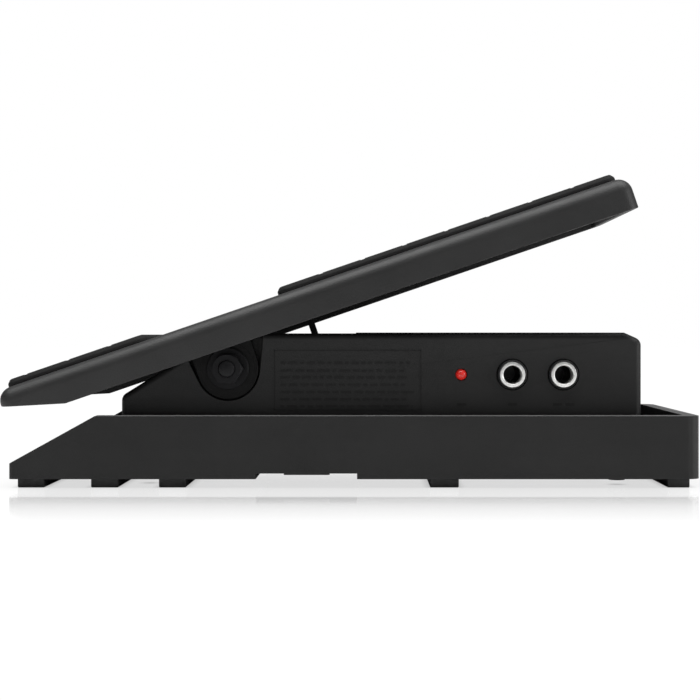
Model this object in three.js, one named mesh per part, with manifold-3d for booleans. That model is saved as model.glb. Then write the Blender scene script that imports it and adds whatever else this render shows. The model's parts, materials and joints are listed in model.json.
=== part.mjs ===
// A foot-operated volume pedal: a wide base tray, a narrower electronics housing, and a treadle
// that rocks on a through-bolt and turns a potentiometer by a toothed sector.
// Millimetres and degrees. +X runs from heel to toe, +Z is up, and the floor is Z = 0.
// Sizes along X put the toe end of the base at 240; the treadle has its own frame, with its origin
// on the pivot, X along the treadle towards the toe and Z square to its top.
import * as THREE from 'three';
import { mergeVertices } from 'three/addons/utils/BufferGeometryUtils.js';
import Module from 'manifold-3d';

const wasm = await Module();
wasm.setup();

// ---------- driving dimensions ----------

const GAP = 0.3;
const ARC_STEPS = 4;
const ROUND_FACETS = 20;
const SIDES = [{ name: 'near', sign: -1 }, { name: 'far', sign: 1 }];

const BASE = { heel: -0.45, toe: 240, width: 105, bottom: 3.2, rim: 25.1, heelTop: 8.5, rampEnd: 29.5, wall: 2.6 };
const WELL = { start: 37.2, end: 235, halfWidth: 45.3, skirt: 2, bottom: 7.6 };
const NOTCH_TOP = 5.15;
const PLATE = { inset: 2.9, thickness: 2, doorMargin: 1.8, screwHole: 1.8 };
const PLATE_SCREW = { head: 2.9, height: 1.5, slotDepth: 0.6, slotWidth: 0.7, shank: 1.4, tip: 15 };
const FOOT = {
  halfWidth: 49,
  height: BASE.bottom,
  spans: [[2.1, 11.5], [27.7, 37.3], [51.4, 60.9], [146, 156.1], [228.9, 236.7]],
};

const HOUSING = { start: 37.6, end: 220.6, halfWidth: 44.5, bottom: 7.6, top: 54.1, wall: 2.4, edge: 2.5 };
const HOUSING_SLOPE = { ridge: 72.8, foot: 31.8, toeChamferStart: 214.7, toeChamferFoot: 51.45 };
const LOWERED = { end: 120.2, depth: 0.3 };
const BOSS = { radius: 3.4, hole: 1.7, holeTop: 18, places: [[46, -30], [46, 30], [213, -36], [213, 36]] };

const PIVOT = { x: 75.1, z: 41.4 };
const POCKET = { radius: 11.2, floor: 39, heelLean: 26, toeLean: 5.7, wall: 2.4, height: 28 };
const EAR = { radius: 10.7, inner: 40, outer: 44, bore: 5.4 };
const BOLT = { radius: 2.9, nutFlats: 10, nutStart: 45.8, nutEnd: 50, end: 50.9, hole: 3.3 };
const WASHER = { radius: 7.4, from: 44.4, to: 45.5 };
const FRICTION_WASHER = { radius: 9, from: 39.2, to: 39.7 };

const TILT = 18.88;
const TREADLE = {
  heel: -78.9, toe: 154.4, halfWidth: 52.5, skirt: 6.8, top: 18.6, wall: 2.6, edge: 5, corner: 5,
};
const TREADLE_HEEL = { lip: 13, flatStart: -56.8 };
const RIBS = { depth: 2.4, thickness: 1.6, across: [-55, -36, 60, 95, 140], along: 25 };
const PAD = { bottom: TREADLE.top + GAP, top: 21.25, halfWidth: 45.5, bevel: 1.3, corner: 4, rounding: 0.4 };
const GROOVE = { pitch: 15.6, width: 1.6, depth: 1.3, border: 5, borderDepth: 0.4 };
const TOE_PAD = { start: 25, end: 150.8, firstGroove: 41.7, grooves: 7 };
const HEEL_PAD = { start: -75.5, end: -23.6, firstGroove: -68.1, grooves: 3 };
const TOE_STOP = { radius: 4, x: 122, y: 34, depth: 2.8 };

const GEAR = { module: 0.8, pressure: 25, addendum: 0.62, dedendum: 0.95, slack: 0.16 };
const SECTOR = { teeth: 80, start: -40, inner: 29, y: [12.5, 16.5], meshAngle: -6, first: -3, last: 4 };
const STEM = {
  inner: 30, outer: 32.4, start: -0.5, flange: [24, 38.6], flangeY: [9.5, 19.5], flangeDepth: 2,
};
const RACK_SCREW = { xs: [27, 35.8], hole: 1.5, seat: 2.5, seatDepth: 0.8, head: 2.2, shank: 1.2 };
const PINION = { teeth: 10, y: [11.9, 17], bore: 2.1 };
const POT = { radius: 8.5, y: [20.3, 29], bush: 3.5, bushStart: 17.3, shaft: 1.9, shaftY: [11.4, 26.7] };
const POT_NUT = { flats: 9.5, y: [17.4, 18.3] };
const BRACKET = { heel: 11, toe: 10, below: 8.5, y: [18.6, 20.1], flangeEnd: 32, flangeDepth: 1.5 };
const SLOT = { x: [100.2, 109.2], y: [11.3, 17.7] };

const JACK = {
  xs: [175.1, 193.1], z: 39.3, bore: 3.3, nose: 5.6, noseEnd: 46,
  hole: 5.9, body: 7.5, front: 41.7, back: 14.7,
};
const FERRULE = { outer: 4.5, inner: 3.25, end: 46.5, depth: 38.4, chamfer: 0.5 };
const DC_SOCKET = { x: 157.2, z: 39.3, radius: 4.4, noseEnd: 44.9, bore: 2.9, back: 33, hole: 4.8 };
const DC_PIN = { radius: 1, y: [32, 43.5] };
const DC_BODY = { halfWidth: 4.6, y: [30, 41.7], below: 6, above: 5.5 };
const LED = { x: 157.2, z: 39.3, radius: 1.75, hole: 2.05, back: 37, tip: 45.3 };
const BOARD = { x: [123, 208], halfWidth: 40, top: 31.5, thickness: 1.6 };
const BOARD_POST = { radius: 2.5, xs: [128, 203], ys: [-30, 30] };
const CHIP = { x: [150, 159.5], halfWidth: 3.2, height: 3.8 };
const CAPACITOR = { radius: 3, height: 11, xs: [136, 143.5], y: 9 };

const DOOR = { x: [86, 120], y: [-49.2, 9.5], z: [5.3, 7.1], opening: [85.4, 120.6] };
const HINGE = { z: 6.5, barrel: 0.8, stub: 3 };
const FINGER_LIP = { inset: 9, width: 1.6, drop: 0.9, overlap: 0.5 };
const BATTERY = { x: [90, 116.5], y: [-40.6, 5.8], z: [7.9, 25.4] };
const TERMINAL = { spacing: 12.7, radii: [2.8, 3.6], height: 1.6 };
const BATTERY_BOX = { x: [88.3, 118.3], y: [-41.9, 10.4], z: [7.6, 26.7], wall: 1 };
const BOX_LEG = { from: 1, to: 4, y: [-36, 12], shelf: 1.2 };
const SNAP = { inset: 0.5, thickness: 2.9, z: [10, 23.3] };

// ---------- materials ----------

function plastic(color, roughness = 0.55) {
  return new THREE.MeshStandardMaterial({ color, roughness, metalness: 0, flatShading: true });
}

function metal(color, roughness = 0.3) {
  return new THREE.MeshStandardMaterial({ color, roughness, metalness: 1, flatShading: true });
}

const MATERIALS = {
  base: plastic(0x2f2f2f),
  housing: plastic(0x232323),
  treadle: plastic(0x363636),
  rubber: plastic(0x1c1c1c, 0.85),
  blackSteel: metal(0x1e1e1e, 0.4),
  steel: metal(0xb8b8b4, 0.25),
  nickel: metal(0xd4d4d0, 0.18),
  whiteNylon: plastic(0xe4e2da, 0.4),
  blackNylon: plastic(0x151515, 0.4),
  board: plastic(0x1f5a34, 0.5),
  led: plastic(0xe2281e, 0.2),
  battery: metal(0x3a3d42, 0.35),
  brass: metal(0xb58b3c, 0.3),
};

// ---------- solids ----------

function solid(geometry) {
  geometry.deleteAttribute('normal');
  geometry.deleteAttribute('uv');
  const closed = mergeVertices(geometry, 1e-5);
  return new wasm.Manifold(new wasm.Mesh({
    numProp: 3,
    vertProperties: new Float32Array(closed.attributes.position.array),
    triVerts: new Uint32Array(closed.index.array),
  }));
}

function node(name, body, material) {
  const { vertProperties, triVerts } = body.getMesh();
  const geometry = new THREE.BufferGeometry();
  geometry.setAttribute('position', new THREE.BufferAttribute(vertProperties, 3));
  geometry.setIndex(new THREE.BufferAttribute(triVerts, 1));
  geometry.computeVertexNormals();
  const mesh = new THREE.Mesh(geometry, material);
  mesh.name = name;
  return mesh;
}

function box([x0, x1], [y0, y1], [z0, z1]) {
  const geometry = new THREE.BoxGeometry(x1 - x0, y1 - y0, z1 - z0);
  geometry.translate((x0 + x1) / 2, (y0 + y1) / 2, (z0 + z1) / 2);
  return solid(geometry);
}

// A closed outline from corners [x, y, radius]: a corner with a radius becomes an arc.
function outline(corners) {
  const points = [];
  corners.forEach(([x, y, radius = 0], index) => {
    const corner = new THREE.Vector2(x, y);
    if (radius === 0) {
      points.push(corner);
      return;
    }
    const before = corners[(index + corners.length - 1) % corners.length];
    const after = corners[(index + 1) % corners.length];
    const back = new THREE.Vector2(before[0], before[1]).sub(corner).normalize();
    const ahead = new THREE.Vector2(after[0], after[1]).sub(corner).normalize();
    const half = Math.acos(back.dot(ahead)) / 2;
    const bisector = back.clone().add(ahead).normalize();
    const centre = corner.clone().addScaledVector(bisector, radius / Math.sin(half));
    const first = corner.clone().addScaledVector(back, radius / Math.tan(half)).sub(centre);
    const last = corner.clone().addScaledVector(ahead, radius / Math.tan(half)).sub(centre);
    const sweep = Math.atan2(first.cross(last), first.dot(last));
    for (let step = 0; step <= ARC_STEPS; step += 1) {
      points.push(first.clone().rotateAround(new THREE.Vector2(), (sweep * step) / ARC_STEPS).add(centre));
    }
  });
  return new THREE.Shape(points);
}

function rectangle(x0, x1, y0, y1, radius = 0) {
  return outline([[x0, y0, radius], [x1, y0, radius], [x1, y1, radius], [x0, y1, radius]]);
}

function extruded(shape, length) {
  return new THREE.ExtrudeGeometry(shape, { depth: length, bevelEnabled: false });
}

// An outline in X and Z, given thickness along Y.
function acrossY(shape, [y0, y1]) {
  const geometry = extruded(shape, y1 - y0);
  geometry.rotateX(Math.PI / 2);
  geometry.translate(0, y1, 0);
  return solid(geometry);
}

// An outline in X and Y, given height along Z.
function upZ(shape, [z0, z1]) {
  const geometry = extruded(shape, z1 - z0);
  geometry.translate(0, 0, z0);
  return solid(geometry);
}

// An outline in Y and Z, run along X.
function alongX(shape, [x0, x1]) {
  const geometry = extruded(shape, x1 - x0);
  const axes = [new THREE.Vector3(0, 1, 0), new THREE.Vector3(0, 0, 1), new THREE.Vector3(1, 0, 0)];
  geometry.applyMatrix4(new THREE.Matrix4().makeBasis(...axes));
  geometry.translate(x0, 0, 0);
  return solid(geometry);
}

function rodY(radius, [y0, y1], x, z, facets = ROUND_FACETS) {
  const geometry = new THREE.CylinderGeometry(radius, radius, y1 - y0, facets);
  geometry.translate(x, (y0 + y1) / 2, z);
  return solid(geometry);
}

function rodX(radius, [x0, x1], y, z, facets = 16) {
  const geometry = new THREE.CylinderGeometry(radius, radius, x1 - x0, facets);
  geometry.rotateZ(Math.PI / 2);
  geometry.translate((x0 + x1) / 2, y, z);
  return solid(geometry);
}

function rodZ(radius, [z0, z1], x, y, facets = 16) {
  const geometry = new THREE.CylinderGeometry(radius, radius, z1 - z0, facets);
  geometry.rotateX(Math.PI / 2);
  geometry.translate(x, y, (z0 + z1) / 2);
  return solid(geometry);
}

// A span of distances from the middle plane, turned into Y values on one side of it.
function spanY(sign, inner, outer) {
  return sign < 0 ? [-outer, -inner] : [inner, outer];
}

function radians(degrees) {
  return THREE.MathUtils.degToRad(degrees);
}

function mirrored(half) {
  return [-half, half];
}

// ---------- base tray ----------

function baseOutline() {
  return outline([
    [BASE.heel, BASE.bottom],
    [BASE.toe, BASE.bottom],
    [BASE.toe, BASE.rim],
    [BASE.rampEnd, BASE.rim],
    [BASE.heel, BASE.heelTop],
  ]);
}

function basePlan(inset, heelRadius, toeRadius) {
  const start = BASE.heel + inset;
  const end = BASE.toe - inset;
  const side = BASE.width / 2 - inset;
  return outline([
    [start, -side, heelRadius], [end, -side, toeRadius],
    [end, side, toeRadius], [start, side, heelRadius],
  ]);
}

// The hollow under the tray follows the ramp at one wall's thickness.
function baseHollow() {
  const rise = (BASE.rim - BASE.heelTop) / (BASE.rampEnd - BASE.heel);
  const drop = BASE.wall * Math.hypot(1, rise);
  const ceiling = BASE.rim - BASE.wall;
  const heel = BASE.heel + BASE.wall;
  const toe = BASE.toe - BASE.wall;
  const profile = outline([
    [heel, 0],
    [toe, 0],
    [toe, ceiling],
    [BASE.heel + (ceiling - BASE.heelTop + drop) / rise, ceiling],
    [heel, BASE.heelTop - drop + rise * BASE.wall],
  ]);
  const plan = upZ(basePlan(BASE.wall, 1, BASE.wall), [0, BASE.rim]);
  return acrossY(profile, mirrored(BASE.width / 2)).intersect(plan);
}

// The tray: ramped cheeks at the heel with a low step between them, and a well for the housing.
function baseFrame() {
  const { start, end, halfWidth, skirt, bottom } = WELL;
  const { heel, toe, width, rim, heelTop, wall } = BASE;
  const body = acrossY(baseOutline(), mirrored(width / 2));
  const plan = upZ(basePlan(0, 2, 5), [0, rim + 1]);
  const wellSkirt = box([start - skirt, toe], mirrored(halfWidth + skirt), [bottom, rim]);
  const stepFloor = box([heel, start], mirrored(halfWidth + skirt), [heelTop - wall, rim]);
  const hollow = baseHollow().subtract(wellSkirt).subtract(stepFloor);
  const well = box([start, end], mirrored(halfWidth), [0, rim + 1]);
  const step = box([heel - 1, start + 1], mirrored(halfWidth), [heelTop, rim + 1]);
  const notch = box(DOOR.opening, [-width / 2 - 1, -width / 2 + wall + 1], [0, NOTCH_TOP]);
  return body.intersect(plan).subtract(hollow).subtract(well).subtract(step).subtract(notch);
}

function bottomPlate() {
  const top = BASE.bottom + PLATE.thickness;
  let plate = upZ(basePlan(PLATE.inset, 1, 2.3), [BASE.bottom, top]);
  const edge = BASE.width / 2 - PLATE.inset;
  plate = plate.subtract(box(DOOR.opening, [-edge - 1, DOOR.y[1] + PLATE.doorMargin], [0, top + 1]));
  BOSS.places.forEach(([x, y]) => {
    plate = plate.subtract(rodZ(PLATE.screwHole, [0, top + 1], x, y));
  });
  const postTop = BOARD.top - BOARD.thickness - GAP;
  BOARD_POST.xs.forEach((x) => {
    BOARD_POST.ys.forEach((y) => {
      plate = plate.add(rodZ(BOARD_POST.radius, [top - 1, postTop], x, y));
    });
  });
  return plate;
}

function plateScrew([x, y]) {
  const { head, height, slotDepth, slotWidth, shank, tip } = PLATE_SCREW;
  const foot = BASE.bottom - height;
  const disc = rodZ(head, [foot, BASE.bottom - GAP], x, y);
  const slotX = [x - head * 0.76, x + head * 0.76];
  const driveSlot = box(slotX, [y - slotWidth / 2, y + slotWidth / 2], [foot - 1, foot + slotDepth]);
  return disc.subtract(driveSlot).add(rodZ(shank, [BASE.bottom - 0.5, tip], x, y));
}

// ---------- electronics housing ----------

function housingOutline() {
  const { start, end, bottom, top } = HOUSING;
  const { ridge, foot, toeChamferStart, toeChamferFoot } = HOUSING_SLOPE;
  return outline([
    [start, bottom],
    [end, bottom],
    [end, toeChamferFoot, 3],
    [toeChamferStart, top, 1.5],
    [LOWERED.end, top],
    [LOWERED.end, top - LOWERED.depth],
    [ridge, top - LOWERED.depth, 3],
    [start, foot, 3],
  ]);
}

function housingHollow() {
  const { start, end, halfWidth, top, wall } = HOUSING;
  const { ridge, foot, toeChamferStart, toeChamferFoot } = HOUSING_SLOPE;
  const rise = (top - foot) / (ridge - start);
  const drop = wall * Math.hypot(1, rise);
  const profile = outline([
    [start + wall, 0],
    [end - wall, 0],
    [end - wall, toeChamferFoot - 1.4],
    [toeChamferStart - 0.6, top - wall],
    [start + (top - wall - foot + drop) / rise, top - wall],
    [start + wall, foot - drop + rise * wall],
  ]);
  return acrossY(profile, mirrored(halfWidth - wall));
}

// The space that an ear swings in: a round bottom about the pivot, between two walls that lean
// outwards, and an open top.
function pocketOutline(radius) {
  const { height } = POCKET;
  const heelLean = radians(POCKET.heelLean);
  const toeLean = radians(POCKET.toeLean);
  const steps = 2 * ARC_STEPS;
  const points = [];
  for (let step = 0; step <= steps; step += 1) {
    const angle = toeLean + ((Math.PI - heelLean - toeLean) * step) / steps;
    points.push([PIVOT.x + radius * Math.cos(angle), PIVOT.z - radius * Math.sin(angle)]);
  }
  const mouth = PIVOT.z + height;
  const [toeX, toeZ] = points[0];
  const [heelX, heelZ] = points[steps];
  points.push([heelX - (mouth - heelZ) * Math.tan(heelLean), mouth]);
  points.push([toeX + (mouth - toeZ) * Math.tan(toeLean), mouth]);
  return new THREE.Shape(points.map(([x, z]) => new THREE.Vector2(x, z)));
}

function housing() {
  const { start, end, halfWidth, bottom, top, edge, wall } = HOUSING;
  const section = outline([
    [-halfWidth, bottom - 1], [halfWidth, bottom - 1],
    [halfWidth, top, edge], [-halfWidth, top, edge],
  ]);
  const across = acrossY(housingOutline(), mirrored(halfWidth));
  const outer = across.intersect(alongX(section, [start - 1, end + 1]));
  let body = outer.subtract(housingHollow());
  SIDES.forEach(({ sign }) => {
    const thickness = spanY(sign, POCKET.floor - wall, halfWidth);
    const lining = acrossY(pocketOutline(POCKET.radius + POCKET.wall), thickness);
    body = body.add(lining.intersect(outer));
  });
  BOSS.places.forEach(([x, y]) => {
    const post = rodZ(BOSS.radius, [bottom, top], x, y).intersect(outer);
    body = body.add(post).subtract(rodZ(BOSS.hole, [0, BOSS.holeTop], x, y));
  });
  SIDES.forEach(({ name, sign }) => {
    const through = spanY(sign, halfWidth - wall - 1, halfWidth + 1);
    const pocket = acrossY(pocketOutline(POCKET.radius), spanY(sign, POCKET.floor, halfWidth + 1));
    const boltHole = rodY(BOLT.hole, spanY(sign, POCKET.floor - wall - 1, halfWidth), PIVOT.x, PIVOT.z);
    body = body.subtract(pocket).subtract(boltHole);
    JACK.xs.forEach((x) => {
      body = body.subtract(rodY(JACK.hole, through, x, JACK.z));
    });
    const small = name === 'near' ? LED : DC_SOCKET;
    body = body.subtract(rodY(small.hole, through, small.x, small.z));
  });
  return body.subtract(box(SLOT.x, SLOT.y, [top - wall - 1, top + 1]));
}

// ---------- jacks, lamp and board ----------

function jack(x, sign) {
  const { z, body, front, back, nose, noseEnd, bore } = JACK;
  const block = box([x - body, x + body], spanY(sign, back, front), [z - body, z + body]);
  const snout = rodY(nose, spanY(sign, front - 1, noseEnd), x, z);
  const seat = rodY(FERRULE.outer + GAP, spanY(sign, FERRULE.depth - GAP, noseEnd + 1), x, z);
  const hole = rodY(bore, spanY(sign, back + 1, noseEnd), x, z);
  return block.add(snout).subtract(seat).subtract(hole);
}

function ferrule(x, sign) {
  const { outer, inner, end, depth, chamfer } = FERRULE;
  const length = end - depth;
  const profile = [
    [inner, 0], [outer, 0], [outer, length - chamfer],
    [outer - chamfer, length], [inner, length], [inner, 0],
  ].map(([radius, along]) => new THREE.Vector2(radius, along));
  const geometry = new THREE.LatheGeometry(profile, ROUND_FACETS);
  geometry.rotateX(sign < 0 ? Math.PI : 0);
  geometry.translate(x, sign * depth, JACK.z);
  return solid(geometry);
}

function dcJack() {
  const { x, z, radius, noseEnd, bore, back } = DC_SOCKET;
  const { halfWidth, y, below, above } = DC_BODY;
  const block = box([x - halfWidth, x + halfWidth], y, [z - below, z + above]);
  const snout = rodY(radius, [y[1] - 1, noseEnd], x, z);
  const hole = rodY(bore, [back, noseEnd + 1], x, z);
  return block.add(snout).subtract(hole).add(rodY(DC_PIN.radius, DC_PIN.y, x, z, 12));
}

function led() {
  const { x, z, radius, back, tip } = LED;
  const length = tip - back;
  const profile = [new THREE.Vector2(0, 0), new THREE.Vector2(radius, 0)];
  for (let step = 0; step <= ARC_STEPS; step += 1) {
    const angle = (Math.PI / 2) * (step / ARC_STEPS);
    const across = step === ARC_STEPS ? 0 : radius * Math.cos(angle);
    profile.push(new THREE.Vector2(across, length - radius + radius * Math.sin(angle)));
  }
  const geometry = new THREE.LatheGeometry(profile, 16);
  geometry.rotateX(Math.PI);
  geometry.translate(x, length - tip, z);
  return solid(geometry);
}

function boardNodes() {
  const { x, halfWidth, top, thickness } = BOARD;
  const plate = box(x, mirrored(halfWidth), [top - thickness, top]);
  const chip = box(CHIP.x, mirrored(CHIP.halfWidth), [top + GAP, top + CHIP.height]);
  const nodes = [
    node('main_board', plate, MATERIALS.board),
    node('op_amp_chip', chip, MATERIALS.blackNylon),
  ];
  CAPACITOR.xs.forEach((place, index) => {
    const can = rodZ(CAPACITOR.radius, [top + GAP, top + CAPACITOR.height], place, CAPACITOR.y);
    nodes.push(node(`capacitor_${index + 1}`, can, MATERIALS.steel));
  });
  return nodes;
}

// ---------- potentiometer and gearing ----------

function involute(angle) {
  return Math.tan(angle) - angle;
}

// One tooth of an external gear, as polar points [radius, angle] from one root to the other.
function tooth(pitchRadius, teeth, centreAngle) {
  const pressure = radians(GEAR.pressure);
  const baseRadius = pitchRadius * Math.cos(pressure);
  const halfAtPitch = Math.PI / (2 * teeth) - GEAR.slack / pitchRadius;
  const root = pitchRadius - GEAR.dedendum;
  const tip = pitchRadius + GEAR.addendum;
  const steps = 4;
  const flank = [];
  for (let step = 0; step <= steps; step += 1) {
    const radius = root + ((tip - root) * step) / steps;
    const slope = Math.acos(Math.min(1, baseRadius / Math.max(radius, baseRadius)));
    flank.push([radius, halfAtPitch + involute(pressure) - involute(slope)]);
  }
  const rising = flank.map(([radius, half]) => [radius, centreAngle - half]);
  const falling = flank.reverse().map(([radius, half]) => [radius, centreAngle + half]);
  return [...rising, ...falling];
}

function polarShape(points, [cx, cz] = [0, 0]) {
  return new THREE.Shape(points.map(([radius, angle]) => new THREE.Vector2(
    cx + radius * Math.cos(angle),
    cz + radius * Math.sin(angle),
  )));
}

const SECTOR_PITCH = (GEAR.module * SECTOR.teeth) / 2;
const PINION_PITCH = (GEAR.module * PINION.teeth) / 2;
const PINION_CENTRE = {
  x: PIVOT.x + (SECTOR_PITCH + PINION_PITCH) * Math.cos(radians(SECTOR.meshAngle)),
  z: PIVOT.z + (SECTOR_PITCH + PINION_PITCH) * Math.sin(radians(SECTOR.meshAngle)),
};

function pinionGear() {
  const points = [];
  const facing = Math.PI + radians(SECTOR.meshAngle);
  for (let index = 0; index < PINION.teeth; index += 1) {
    points.push(...tooth(PINION_PITCH, PINION.teeth, facing + (2 * Math.PI * index) / PINION.teeth));
  }
  const { x, z } = PINION_CENTRE;
  const bore = rodY(PINION.bore, [PINION.y[0] - 1, PINION.y[1] + 1], x, z);
  return acrossY(polarShape(points, [x, z]), PINION.y).subtract(bore);
}

// The sector in the treadle's frame: a toothed arc about the pivot, a straight stem from the
// arc's upper end, and a flange under the treadle's top.
function sectorRack() {
  const pitchAngle = (2 * Math.PI) / SECTOR.teeth;
  const meshing = radians(SECTOR.meshAngle - TILT);
  const root = SECTOR_PITCH - GEAR.dedendum;
  const points = [[root, radians(SECTOR.start)]];
  for (let index = SECTOR.first; index <= SECTOR.last; index += 1) {
    points.push(...tooth(SECTOR_PITCH, SECTOR.teeth, meshing + (index + 0.5) * pitchAngle));
  }
  points.push([root, 0]);
  const steps = 10;
  for (let step = 0; step <= steps; step += 1) {
    points.push([SECTOR.inner, radians(SECTOR.start) * (step / steps)]);
  }
  const ceiling = TREADLE.top - TREADLE.wall - GAP;
  const arc = acrossY(polarShape(points), SECTOR.y);
  const stem = box([STEM.inner, STEM.outer], SECTOR.y, [STEM.start, ceiling]);
  let flange = box(STEM.flange, STEM.flangeY, [ceiling - STEM.flangeDepth, ceiling]);
  rackScrewPlaces().forEach(([x, y]) => {
    flange = flange.subtract(rodZ(RACK_SCREW.hole, [0, ceiling + 1], x, y));
    flange = flange.subtract(rodZ(RACK_SCREW.seat, [0, ceiling - RACK_SCREW.seatDepth], x, y));
  });
  return arc.add(stem).add(flange);
}

function rackScrewPlaces() {
  const y = (STEM.flangeY[0] + STEM.flangeY[1]) / 2;
  return RACK_SCREW.xs.map((x) => [x, y]);
}

function rackScrew([x, y]) {
  const ceiling = TREADLE.top - TREADLE.wall - GAP;
  const { head, shank, seatDepth } = RACK_SCREW;
  const seated = ceiling - seatDepth - GAP;
  const disc = rodZ(head, [ceiling - STEM.flangeDepth, seated], x, y);
  return disc.add(rodZ(shank, [seated - 0.5, TREADLE.top - 0.8], x, y, 12));
}

function potentiometer() {
  const { x, z } = PINION_CENTRE;
  const can = rodY(POT.radius, POT.y, x, z);
  const bush = rodY(POT.bush, [POT.bushStart, POT.y[0] + 1], x, z);
  const hole = rodY(POT.shaft + GAP, [POT.bushStart - 1, POT.shaftY[1] + GAP], x, z);
  return can.add(bush).subtract(hole);
}

function potBracket() {
  const { x, z } = PINION_CENTRE;
  const ceiling = HOUSING.top - HOUSING.wall - GAP;
  const { heel, toe, below, y, flangeEnd, flangeDepth } = BRACKET;
  const upright = box([x - heel, x + toe], y, [z - below, ceiling]);
  const flange = box([x - heel, x + toe], [y[0], flangeEnd], [ceiling - flangeDepth, ceiling]);
  return upright.add(flange).subtract(rodY(POT.bush + GAP, [y[0] - 1, y[1] + 1], x, z));
}

function hexRodY(flats, [y0, y1], x, z) {
  const corner = flats / Math.sqrt(3);
  const geometry = new THREE.CylinderGeometry(corner, corner, y1 - y0, 6);
  geometry.rotateY(Math.PI / 2);
  geometry.translate(x, (y0 + y1) / 2, z);
  return solid(geometry);
}

function potNut() {
  const { x, z } = PINION_CENTRE;
  const hole = rodY(POT.bush + GAP, [POT_NUT.y[0] - 1, POT_NUT.y[1] + 1], x, z);
  return hexRodY(POT_NUT.flats, POT_NUT.y, x, z).subtract(hole);
}

// ---------- pivot ----------

function pivotBolt() {
  const head = hexRodY(BOLT.nutFlats, spanY(1, BOLT.nutStart, BOLT.nutEnd), PIVOT.x, PIVOT.z);
  return head.add(rodY(BOLT.radius, [-BOLT.end, BOLT.nutStart + 0.2], PIVOT.x, PIVOT.z));
}

function pivotNut() {
  const nut = hexRodY(BOLT.nutFlats, spanY(-1, BOLT.nutStart, BOLT.nutEnd), PIVOT.x, PIVOT.z);
  const through = spanY(-1, BOLT.nutStart - 1, BOLT.nutEnd + 1);
  return nut.subtract(rodY(BOLT.radius + 0.15, through, PIVOT.x, PIVOT.z));
}

function ringY(outer, inner, span, x, z) {
  return rodY(outer, span, x, z).subtract(rodY(inner, [span[0] - 1, span[1] + 1], x, z));
}

function pivotNodes() {
  const { x, z } = PIVOT;
  const nodes = [
    node('pivot_bolt', pivotBolt(), MATERIALS.blackSteel),
    node('pivot_nut', pivotNut(), MATERIALS.blackSteel),
  ];
  SIDES.forEach(({ name, sign }) => {
    const washer = ringY(WASHER.radius, BOLT.hole, spanY(sign, WASHER.from, WASHER.to), x, z);
    const frictionSpan = spanY(sign, FRICTION_WASHER.from, FRICTION_WASHER.to);
    const friction = ringY(FRICTION_WASHER.radius, BOLT.hole, frictionSpan, x, z);
    nodes.push(node(`pivot_washer_${name}`, washer, MATERIALS.blackSteel));
    nodes.push(node(`friction_washer_${name}`, friction, MATERIALS.whiteNylon));
  });
  return nodes;
}

// ---------- battery ----------

// A box over the battery, on two legs beside the door. The legs carry the door's hinge pins.
function batteryBox() {
  const { x, y, z, wall } = BATTERY_BOX;
  const { from, to, shelf } = BOX_LEG;
  const shelfTop = z[0] + shelf;
  const hollow = box([x[0] + wall, x[1] - wall], [y[0] + wall, y[1] - wall], [z[0] - 1, z[1] - wall]);
  let body = box(x, y, z).subtract(hollow);
  const legSpans = [[DOOR.x[0] - to, DOOR.x[0] - from], [DOOR.x[1] + from, DOOR.x[1] + to]];
  legSpans.forEach((span) => {
    const reach = [Math.min(span[0], x[1] - wall / 2), Math.max(span[1], x[0] + wall / 2)];
    body = body.add(box(reach, BOX_LEG.y, [z[0], shelfTop]));
    body = body.add(box(span, BOX_LEG.y, [BASE.bottom + PLATE.thickness, shelfTop]));
  });
  return body.subtract(rodX(HINGE.barrel + GAP, [x[0] - 10, x[1] + 10], DOOR.y[1], HINGE.z));
}

function terminalPlaces() {
  const middleX = (BATTERY.x[0] + BATTERY.x[1]) / 2;
  const z = (BATTERY.z[0] + BATTERY.z[1]) / 2;
  const [small, large] = TERMINAL.radii;
  return [[middleX - TERMINAL.spacing / 2, z, small], [middleX + TERMINAL.spacing / 2, z, large]];
}

function battery() {
  const face = BATTERY.y[1];
  let cell = box(BATTERY.x, BATTERY.y, BATTERY.z);
  terminalPlaces().forEach(([x, z, radius]) => {
    cell = cell.add(rodY(radius, [face - 1, face + TERMINAL.height], x, z, 16));
  });
  return cell;
}

function batterySnap() {
  const face = BATTERY.y[1];
  const span = [face + GAP, face + GAP + SNAP.thickness];
  let plate = box([BATTERY.x[0] + SNAP.inset, BATTERY.x[1] - SNAP.inset], span, SNAP.z);
  terminalPlaces().forEach(([x, z, radius]) => {
    plate = plate.subtract(rodY(radius + GAP, [face, face + TERMINAL.height + GAP], x, z, 16));
  });
  return plate;
}

function batteryDoor() {
  const { x, y, z } = DOOR;
  const { inset, width, drop, overlap } = FINGER_LIP;
  const lip = box([x[0] + inset, x[1] - inset], [y[0], y[0] + width], [z[0] - drop, z[0] + overlap]);
  const barrel = rodX(HINGE.barrel, [x[0] - HINGE.stub, x[1] + HINGE.stub], y[1], HINGE.z);
  return box(x, y, z).add(lip).add(barrel);
}

// ---------- treadle ----------

function treadleBlock(inset, bottomDrop) {
  const { heel, toe, halfWidth, skirt, top, edge, corner } = TREADLE;
  const { lip, flatStart } = TREADLE_HEEL;
  const side = outline([
    [heel + inset, lip - bottomDrop],
    [flatStart, skirt - bottomDrop],
    [toe - inset, skirt - bottomDrop],
    [toe - inset, top - inset, edge - inset],
    [heel + inset, top - inset, (edge - inset) * 0.9],
  ]);
  const section = outline([
    [-halfWidth + inset, -20], [halfWidth - inset, -20],
    [halfWidth - inset, top - inset, edge - inset], [-halfWidth + inset, top - inset, edge - inset],
  ]);
  const plan = rectangle(heel + inset, toe - inset, -halfWidth + inset, halfWidth - inset, corner - inset);
  const across = acrossY(side, mirrored(halfWidth));
  return across.intersect(alongX(section, [heel, toe])).intersect(upZ(plan, [-20, top]));
}

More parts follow.
